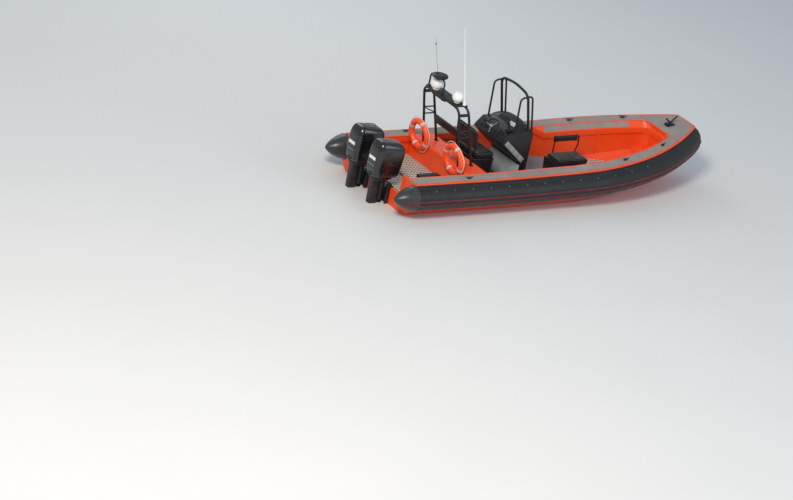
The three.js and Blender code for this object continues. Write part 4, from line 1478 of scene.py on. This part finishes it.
@dataclass
class Helm:
    """The console, its handrail frame and wheel, and the seat for two behind it."""

    half: float = 0.5
    rail: float = 0.45
    # the handrail frame's corners: X and Z of a side hoop, X and Z of the cross hoop's side, and its crest
    side_hoop: Outline = ((2.715, 1.26), (2.68, 2.03), (2.95, 2.07), (3.13, 1.26))
    cross_hoop: Outline = ((3.04, 1.29), (2.83, 2.105))
    crest: Point = (2.83, 0, 2.165)
    shelf: float = 1.29
    cad_rise: float = 0.255
    crown: float = 0.18
    # the top of each side's slanted lower edge, and its slope
    edge_at: tuple[float, float] = (2.452, 1.08)
    edge_slope: float = math.atan2(0.44, 0.54)
    plates_at: tuple[float, ...] = (0.02, 0.18, 0.34, 0.50)
    side_rail: tuple[Point, ...] = (
        (0.03, 0, 0.014), (0.03, 0.035, 0.014), (0.66, 0.035, 0.014), (0.66, 0, 0.014),
    )
    display_at: Point = (2.818, -0.2, 1.386)
    display_faces: Point = (-0.0841, -0.012, 0.06)
    dash_at: Point = (2.545, 0, 1.21)
    gauges_y: tuple[float, ...] = (-0.36, -0.27, 0.27, 0.36)
    gauge: Outline = ((0, 0), (0.038, 0), (0.038, 0.008), (0.031, 0.011), (0.029, 0.006), (0, 0.006))
    levers_at: Point = (2.66, -0.33, 1.297)
    wheel_at: Point = (2.4677, 0.0, 1.2825)
    wheel_slope: float = math.atan2(0.16, 0.15)
    wheel_radius: float = 0.16
    hub: Outline = (
        (0, -0.098), (0.026, -0.098), (0.028, -0.09), (0.033, -0.03), (0.042, -0.026), (0.044, -0.018),
        (0.040, 0.004), (0.034, 0.012), (0.020, 0.014), (0, 0.014),
    )
    lining: tuple[Point, Point] = ((2.966, -0.47, 0.17), (2.992, 0.47, 0.622))
    seat_half: float = 0.33
    seat_top: float = 0.7403
    # X of the seat's frame at its foot and at its top, and the height of its top
    seat_frame: tuple[float, float, float] = (1.982, 1.885, 1.33)
    # the aft face of the seat's box: its foot, and how far it leans over its height
    door_at: Point = (2.0, 0, 0.14)
    door_lean: float = -math.atan2(0.04, 0.48)
    back_lean: float = -math.atan2(0.062, 0.37)

    def crowned(self, bm: Mesh) -> None:
        """Round the hood across the boat, highest in the middle, over the CAD's level one.

        Args:
            bm: the merged copy of the console.
        """
        for degrees in range(-75, 90, 15):
            cut = self.half * math.sin(math.radians(degrees))
            everything = bm.verts[:] + bm.edges[:] + bm.faces[:]
            bmesh.ops.bisect_plane(bm, geom=everything, dist=1e-5, plane_co=(0, cut, 0), plane_no=(0, 1, 0))
        for vertex in bm.verts:
            over = vertex.co.z - self.shelf
            if over > 0:
                across = min(abs(vertex.co.y) / self.half, 0.99)
                vertex.co.z = self.shelf + over / self.cad_rise * self.crown * math.sqrt(1 - across**2)

    def edge_place(self, side: Side, proud: float) -> Matrix:
        """Return the place of the console side's slanted lower edge.

        Args:
            side: which side.
            proud: how far outside the console's side.

        Returns:
            A matrix whose first axis runs down the edge and whose third points up from it.
        """
        x, z = self.edge_at
        at = (x, side.value * (self.half + proud), z)
        return Matrix.Translation(at) @ Matrix.Rotation(self.edge_slope, 4, "Y")

    def console(self) -> None:
        """Make the console's moulding, the plates and tubes along its edges, and the foot space's lining."""
        bm = merged_copy("console")
        bmesh.ops.dissolve_limit(bm, angle_limit=math.radians(0.5), verts=bm.verts, edges=bm.edges)
        self.crowned(bm)
        softened(bm, 0.014, 3)
        piece("console_moulding", bm, BLACK_MOULDING, replaced="console", sharp=32)
        with new_piece("console_side_strips", GREY_PANEL) as bm:
            for side in Side:
                for x in self.plates_at:
                    place = self.edge_place(side, 0.0025)
                    block(bm, (x, -0.003, 0.032), (x + 0.152, 0.003, 0.132), 0.002, place=place)
        with new_piece("console_side_rails", POWDER_COAT) as bm:
            for side in Side:
                place = self.edge_place(side, 0.0)
                corners = [place @ Vector((x, side.value * y, z)) for x, y, z in self.side_rail]
                tube(bm, bent(corners, 0.025, 5), 0.012, 12)
        with new_piece("foot_space_lining", PALE_GEL_COAT) as bm:
            block(bm, *self.lining, 0.004)

    def dash(self) -> None:
        """Fit the blank display, the gauges and switch blocks on the dash, and the twin engine levers."""
        # The display's pale face is painted reflection on its dark glass.
        with new_piece("dash_display", DISPLAY_PAINTED_SHEEN) as bm:
            place = facing(self.display_at, self.display_faces)
            block(bm, (-0.075, -0.042, -0.006), (0.075, 0.042, 0.008), 0.004, place=place)
        face = Matrix.Translation(self.dash_at) @ Matrix.Rotation(-self.wheel_slope, 4, "Y")
        with new_piece("dash_fittings", POWDER_COAT) as bm:
            for y in self.gauges_y:
                for x in (-0.05, 0.045):
                    lathe(bm, self.gauge, face @ Matrix.Translation((x, y, 0.001)), 28)
            for y in (-0.18, 0.18):
                block(bm, (-0.07, y - 0.01, 0.0), (0.07, y + 0.01, 0.012), 0.003, place=face)
        at = Vector(self.levers_at)
        with new_piece("engine_levers", POWDER_COAT) as bm:
            block(bm, at + Vector((-0.075, -0.05, 0)), at + Vector((0.075, 0.05, 0.05)), 0.014, 3)
            for y in (-0.024, 0.024):
                path = [at + Vector(p) for p in ((0, y, 0.03), (-0.02, y, 0.10), (-0.045, y, 0.165))]
                tapered(bm, path, (0.009, 0.008, 0.008), 10)
                low, high = at + Vector((-0.066, y - 0.018, 0.155)), at + Vector((-0.028, y + 0.018, 0.195))
                block(bm, low, high, 0.012, 3)

    def handrails(self) -> None:
        """Bend the two side hoops and the cross hoop of the handrail frame over the console."""
        with new_piece("handrail_tubes", POWDER_COAT, replaced="handrail_frame", slot="black_coating") as bm:
            for y in (self.rail, -self.rail):
                tube(bm, bent([(x, y, z) for x, z in self.side_hoop], 0.085), 0.019, 16)
            starboard = [(x, -self.rail, z) for x, z in self.cross_hoop]
            port = [(x, self.rail, z) for x, z in reversed(self.cross_hoop)]
            tube(bm, bent([*starboard, self.crest, *port], 0.15, 10), 0.026, 18)

    def wheel(self) -> None:
        """Make the steering wheel's gripped rim, and its hub with three spokes."""
        place = Matrix.Translation(self.wheel_at) @ Matrix.Rotation(-self.wheel_slope, 4, "Y")
        with new_piece("wheel_rim", GRIP_RUBBER, "helm", "steering_wheel", "wheel_grip", 45, place) as bm:
            hoop(bm, [(x, y, 0) for x, y in circle_outline(self.wheel_radius, 64)], 0.013, 14)
        with new_piece("wheel_spokes", STAINLESS, "helm", "steering_wheel", sharp=45, place=place) as bm:
            lathe(bm, self.hub, Matrix.Identity(4), 28)
            for degrees in (90, 210, 330):
                x, y = math.cos(math.radians(degrees)), math.sin(math.radians(degrees))
                tapered(bm, [(0.03 * x, 0.03 * y, -0.011), (0.152 * x, 0.152 * y, 0)], (0.011, 0.009), 10)

    def seat(self) -> None:
        """Make the seat's box with its hinged locker door, its frame and its cushions."""
        bm = softened(merged_copy("seat_base"), 0.012, 3)
        piece("seat_box", bm, BLACK_MOULDING, replaced="seat_base")
        place = Matrix.Translation(self.door_at) @ Matrix.Rotation(self.door_lean, 4, "Y")
        with new_piece("seat_locker_door", BLACK_MOULDING) as bm:
            block(bm, (-0.008, -0.25, 0.05), (0.004, 0.25, 0.42), 0.004, place=place)
            for y in (-0.18, 0.18):
                block(bm, (-0.014, y - 0.03, 0.035), (-0.004, y + 0.03, 0.065), 0.003, place=place)
        half, rail, top = self.seat_half, self.seat_half - 0.02, self.seat_top
        foot_x, top_x, high = self.seat_frame
        with new_piece("seat_frame_tube", POWDER_COAT, replaced="seat_frame", slot="black_coating") as bm:
            corners = [(foot_x, rail, top), (top_x, rail, high), (top_x, -rail, high), (foot_x, -rail, top)]
            tube(bm, bent(corners, 0.09), 0.016, 16)
        Cushion(
            "seat_cushion_pad", (2.006, -half, top), (2.455, half, 0.855), channels=((1, 0.0),)
        ).build("seat_cushion")
        Cushion(
            "seat_back_pad", (1.950, -half, 0.925), (2.020, half, 1.300), rounding=0.022, cap=0.009,
            channels=((1, 0.0),), lean=self.back_lean,
        ).build("seat_back")

    def build(self) -> None:
        """Build the helm."""
        self.console()
        self.dash()
        self.handrails()
        self.wheel()
        self.seat()


@dataclass
class Bench:
    """The bench in the forward cockpit with the roll along its port side."""

    top: float = 0.4403
    roll_y: float = 0.222
    post: float = 0.014
    posts_x: tuple[float, float] = (4.33, 4.855)
    aft_top: float = 0.79
    # X and Z of the forward post's corners over its foot
    fore_bends: Outline = ((4.92, 0.65), (4.905, 0.845), (4.80, 0.845))

    def build(self) -> None:
        """Build the bench, its cushions and the roll's posts, the forward one bent round its end."""
        bm = softened(merged_copy("bench_base"), 0.012, 3)
        piece("bench_box", bm, BLACK_MOULDING, replaced="bench_base")
        Cushion(
            "bench_cushion_pad", (4.15, -0.262, self.top), (4.89, 0.19, 0.55), channels=((0, 4.52),)
        ).build("bench_cushion")
        Cushion(
            "bench_roll_pad", (4.28, 0.186, 0.728), (4.885, 0.260, 0.885), rounding=0.025, cap=0.01
        ).build("bench_back")
        y, low, (aft, fore) = self.roll_y, self.top, self.posts_x
        with new_piece("bench_roll_posts", POWDER_COAT) as bm:
            tube(bm, [(aft, y, low), (aft, y, self.aft_top)], self.post)
            tube(bm, bent([(fore, y, low), *((x, y, z) for x, z in self.fore_bends)], 0.05), self.post)
            for x in self.posts_x:
                stud(bm, Matrix.Translation((x, y, low)), 0.03, 0.004, 0.009, 0.016, 18)


@dataclass
class Outboard:
    """One outboard: clamp, swivel, leg, hood and propeller."""

    side: Side
    y_out: float = 0.36
    shaft: float = -0.695
    # the hood section's half-length, half-width and corner before each level scales it
    reference: tuple[float, float, float] = (0.32, 0.205, 0.11)
    levels: tuple[tuple[float, ...], ...] = (
        # z, aft, fore, half-width, drop towards the front
        (0.560, -0.430, 0.055, 0.148, 0.0),
        (0.571, -0.447, 0.074, 0.170, 0.0),
        (0.592, -0.462, 0.092, 0.188, 0.0),
        (0.660, -0.480, 0.112, 0.199, 0.0),
        (0.760, -0.492, 0.128, 0.205, 0.0),
        (0.880, -0.493, 0.143, 0.207, 0.01),
        (1.000, -0.488, 0.150, 0.206, 0.03),
        (1.080, -0.482, 0.151, 0.203, 0.055),
        (1.140, -0.470, 0.146, 0.196, 0.08),
        (1.188, -0.451, 0.132, 0.184, 0.105),
        (1.222, -0.426, 0.110, 0.167, 0.13),
        (1.244, -0.400, 0.084, 0.144, 0.142),
        (1.256, -0.370, 0.052, 0.114, 0.15),
        (1.261, -0.330, 0.010, 0.076, 0.15),
    )
    belt_z: float = 0.618
    vent_at: tuple[float, float] = (-0.30, 1.03)
    vent_step: tuple[float, float] = (0.008, 0.022)
    strap: Outline = ((-0.33, 1.27), (-0.28, 1.318), (-0.05, 1.295), (0.0, 1.235))
    leg_bolts: tuple[tuple[float, float, float], ...] = (
        # x, z, distance from the engine's middle
        (-0.30, -0.36, 0.055), (-0.38, -0.36, 0.055), (-0.28, 0.12, 0.071), (-0.36, 0.12, 0.071),
    )
    clamp_bolt: Outline = ((0, 0), (0.02, 0), (0.02, 0.004), (0.012, 0.004), (0.012, 0.014), (0, 0.016))
    propeller_hub: Outline = (
        (0, 0), (0.036, 0), (0.0405, 0.01), (0.044, 0.022), (0.048, 0.06), (0.050, 0.105), (0, 0.105),
    )
    blade: tuple[tuple[float, ...], ...] = (
        # radius, half its chord, pitch in degrees, rake
        (0.030, 0.040, 34, 0.0), (0.060, 0.052, 42, 0.0), (0.095, 0.062, 51, -0.002),
        (0.130, 0.064, 58, -0.004), (0.160, 0.056, 63, -0.006), (0.180, 0.038, 66, -0.007),
        (0.188, 0.018, 68, -0.008),
    )

    @property
    def y(self) -> float:
        """The engine's distance from the centreline, with its sign."""
        return self.side.value * self.y_out

    @property
    def body(self) -> str:
        """The body of the leg and hood."""
        return "outboard_" + self.side.word

    def level(self, row: Sequence[float]) -> Matrix:
        """Return the hood's section place at one level.

        Args:
            row: the level's z, aft and fore ends, half-width and drop.

        Returns:
            From the reference outline to the boat.
        """
        z, aft, fore, half, drop = row
        length = (fore - aft) / 2 / self.reference[0]
        rows = (
            (length, 0, 0, (aft + fore) / 2),
            (0, half / self.reference[1], 0, self.y),
            (-drop * length, 0, 1, z),
            (0, 0, 0, 1),
        )
        return Matrix(rows)

    def between(self, z: float) -> list[float]:
        """Return the hood's level at a height, straight between its rows.

        Args:
            z: the height over the waterline.

        Returns:
            A row as in the table of levels.
        """
        i = next(k for k, row in enumerate(self.levels) if row[0] >= z)
        low, high = self.levels[i - 1], self.levels[i]
        t = (z - low[0]) / (high[0] - low[0])
        return [a + (b - a) * t for a, b in zip(low, high)]

    def wrapped(self, bm: Mesh, z: float, height: float, proud: float, half_y: float = 0.1) -> None:
        """Lay a strip across the hood's aft face.

        Args:
            bm: the mesh to add to.
            z: the strip's height over the waterline.
            height: its own height.
            proud: how far it stands out.
            half_y: half its width.
        """
        place = self.level(self.between(z))
        half_u, half_v, corner = self.reference
        across = self.between(z)[3] / half_v
        path = []
        for i in range(13):
            v = half_y * (i / 6 - 1) / across
            over = max(0.0, abs(v) - (half_v - corner))
            path.append(place @ Vector((-(half_u - corner + math.sqrt(corner**2 - over**2)), v, 0)))
        sweep(bm, rounded_outline(proud, height / 2, proud * 0.5, 2), upright(path))

    def trim(self, bm: Mesh, outline: Outline) -> None:
        """Add the seam belt round the hood's foot, the latch behind and the vents on both sides.

        Args:
            bm: the mesh to add to.
            outline: the hood's reference section.
        """
        place = self.level(self.between(self.belt_z))
        hoop(bm, [place @ Vector((u, v, 0)) for u, v in outline], 0.006, 8)
        block(bm, (-0.486, self.y - 0.05, 0.596), (-0.462, self.y + 0.05, 0.642), 0.006, 3)
        for sign in (-1, 1):
            for k in range(4):
                z = self.vent_at[1] + self.vent_step[1] * k
                x = self.vent_at[0] + self.vent_step[0] * k
                edge = self.y + sign * self.between(z)[3]
                block(bm, (x - 0.075, edge - 0.004, z - 0.005), (x + 0.075, edge + 0.004, z + 0.005), 0.003)

    def hood(self) -> None:
        """Make the hood with its trim, blank white plate, grey line and, to port, the carrying strap."""
        body, word = self.body, self.side.word
        outline = rounded_outline(*self.reference, steps=7)
        with new_piece("hood_" + word, ENGINE_PAINT, body, "cowl_" + word, "engine_paint", 50) as bm:
            sweep(bm, outline, [self.level(row) for row in self.levels])
        with new_piece("hood_trim_" + word, LEG_PAINT, body) as bm:
            self.trim(bm, outline)
        with new_piece("hood_plate_" + word, WHITE_PLASTIC, body) as bm:
            self.wrapped(bm, 0.93, 0.062, 0.004)
        with new_piece("hood_line_" + word, GREY_PANEL, body) as bm:
            self.wrapped(bm, 0.80, 0.012, 0.003)
        if self.side is Side.PORT:
            with new_piece("hood_strap_" + word, GREY_HOSE, body) as bm:
                tube(bm, bent([(x, self.y, z) for x, z in self.strap], 0.04), 0.007, 8)

    def leg(self) -> None:
        """Make the leg, the swivel and the clamp with the bolts, grilles and anode."""
        word = self.side.word
        castings = (
            # part, how its piece is called, body, angle from which an edge stays sharp
            ("leg", "casing", self.body, 38),
            ("swivel", "casting", "tilt_" + word, 30),
            ("clamp", "casting", "boat", 30),
        )
        for part, form, body, sharp in castings:
            node = f"{part}_{word}"
            piece(f"{part}_{form}_{word}", merged_copy(node), LEG_PAINT, body, node, sharp)
        with new_piece("leg_fittings_" + word, POWDER_COAT, self.body) as bm:
            for sign in (-1, 1):
                y = self.y + sign * 0.0595
                for k in range(4):
                    x = -0.36 + 0.03 * k
                    block(bm, (x, y - 0.004, -0.725), (x + 0.012, y + 0.004, -0.665), 0.002)
                for x, z, out in self.leg_bolts:
                    stud(bm, facing((x, self.y + sign * out, z), (0, sign, 0)), 0.011, 0.006, 0.009, sides=6)
            block(bm, (-0.60, self.y - 0.03, -0.496), (-0.46, self.y + 0.03, -0.482), 0.004)
        with new_piece("clamp_bolts_" + word, STAINLESS) as bm:
            for sign in (-1, 1):
                for z in (0.03, 0.19):
                    lathe(bm, self.clamp_bolt, facing((-0.030, self.y + sign * 0.07, z), (-1, 0, 0)), 6)

    def propeller(self) -> None:
        """Make the propeller of a hub and three twisted blades."""
        word = self.side.word
        node = "propeller_" + word
        with new_piece("propeller_blades_" + word, LEG_PAINT, "prop_" + word, node, "engine_paint") as bm:
            lathe(bm, self.propeller_hub, facing((-0.712, self.y, self.shaft), (1, 0, 0)), 32)
            for turn in range(3):
                root = Matrix.Translation((-0.658, self.y, self.shaft))
                root = root @ Matrix.Rotation(turn * 2 * math.pi / 3, 4, "X")
                places = []
                for r, chord, pitch, rake in self.blade:
                    thick = 0.0045 - 0.015 * (r - 0.03)
                    place = root @ Matrix.Translation((rake, 0, r))
                    place = place @ Matrix.Rotation(math.radians(pitch), 4, "Z")
                    places.append(place @ Matrix.Diagonal((chord, thick, 1, 1)))
                sweep(bm, circle_outline(1.0, 14), places)

    def build(self) -> None:
        """Build the outboard."""
        self.hood()
        self.leg()
        self.propeller()


@dataclass
class DeckGear:
    """The box and the drain cover in the engine well, and the bow bitt."""

    deck: float = 0.3203
    box_low: tuple[float, float] = (0.33, -0.9)
    box_high: Point = (0.80, -0.75, 0.66)
    lid: tuple[Point, Point] = ((0.326, -0.904, 0.655), (0.804, -0.746, 0.73))
    straps_x: tuple[float, ...] = (0.43, 0.70)
    drain_x: float = 0.63
    drain_ends: tuple[float, float] = (-0.74, 0.94)
    drain_top: float = 0.332
    screws_y: tuple[float, ...] = (-0.7, -0.15, 0.4, 0.9)

    def build(self) -> None:
        """Build the box with its lid and two straps, the drain's low cover and the bitt."""
        with new_piece("well_box_case", BLACK_MOULDING, replaced="well_box", slot="black_grp") as bm:
            block(bm, (*self.box_low, self.deck), self.box_high, 0.02, 3)
            block(bm, *self.lid, 0.016, 3)
            for x in self.straps_x:
                block(bm, (x - 0.018, -0.907, 0.45), (x + 0.018, -0.743, 0.733), 0.004)
        x, (starboard, port) = self.drain_x, self.drain_ends
        with new_piece("well_drain_cover", POWDER_COAT) as bm:
            block(bm, (x - 0.03, starboard, self.deck), (x + 0.03, port, self.drain_top), 0.004)
            for y in self.screws_y:
                stud(bm, Matrix.Translation((x, y, self.drain_top - 0.0005)), 0.009, 0.003, 0.005, sides=8)
        bm = softened(merged_copy("bow_bitt"), 0.004, 2, 50)
        piece("bow_bitt_casting", bm, POWDER_COAT, replaced="bow_bitt", sharp=45)


@dataclass
class Studio:
    """Floor at the waterline, soft lights and the photograph's camera."""

    lens: float = 200.0
    turn: tuple[float, float, float] = (-1.085878, 0.616984, 0.077515)
    shift: tuple[float, float, float] = (-0.453721, 1.015146, -84.096882)
    raised: float = 0.08
    lamps: tuple[tuple[str, Point, float, float, str], ...] = (
        # name, place, side of its square, power in watts, colour
        ("key_lamp", (-17, -16, 22), 7.0, 7200, "fff2e2"),
        ("fill_lamp", (14, -22, 12), 12.0, 1300, "f2f4ff"),
        ("back_lamp", (4, 13, 10), 8.0, 380, "ffffff"),
    )
    sky: str = "dfe9f2"
    floor_half: float = 150.0

    def camera(self) -> None:
        """Stand the camera where the photograph was taken from."""
        rx, ry, rz = self.turn
        look = Matrix.Rotation(rz, 3, "Z") @ Matrix.Rotation(ry, 3, "Y") @ Matrix.Rotation(rx, 3, "X")
        data = bpy.data.cameras.new("photo_camera")
        data.lens = self.lens
        data.sensor_width = 36.0
        data.clip_end = 1000.0
        back = look.transposed()
        at = -(back @ Vector(self.shift)) - Vector((0, 0, self.raised))
        camera = stand("photo_camera", data)
        camera.matrix_world = Matrix.Translation(at) @ back.to_4x4()
        bpy.context.scene.camera = camera

    def build(self) -> None:
        """Build the studio."""
        self.camera()
        world = bpy.data.worlds.new("soft_sky")
        world.use_nodes = True
        background = world.node_tree.nodes["Background"]
        background.inputs["Color"].default_value = linear(self.sky)
        background.inputs["Strength"].default_value = 0.5
        bpy.context.scene.world = world
        for name, at, size, power, colour in self.lamps:
            data = bpy.data.lights.new(name, "AREA")
            data.size = size
            data.energy = power
            data.color = linear(colour)[:3]
            stand(name, data).matrix_world = facing(at, Vector(at) - Vector((3.2, 0, 0.6)))
        bm = bmesh.new()
        bmesh.ops.create_grid(bm, x_segments=1, y_segments=1, size=self.floor_half)
        settle("floor", bm, PALE_FLOOR)
        bpy.context.scene.view_settings.view_transform = "Standard"


def main() -> None:
    """Build the studio and each sub-assembly in order."""
    logging.basicConfig(level=logging.INFO, format="%(message)s")
    parts = (Studio(), Collar(), Hull(), Arch(), Lifebuoys(), Helm(), Bench(), DeckGear())
    for part in (*parts, Outboard(Side.PORT), Outboard(Side.STARBOARD)):
        log.info("building %s", type(part).__name__)
        part.build()


if __name__ == "__main__":
    main()
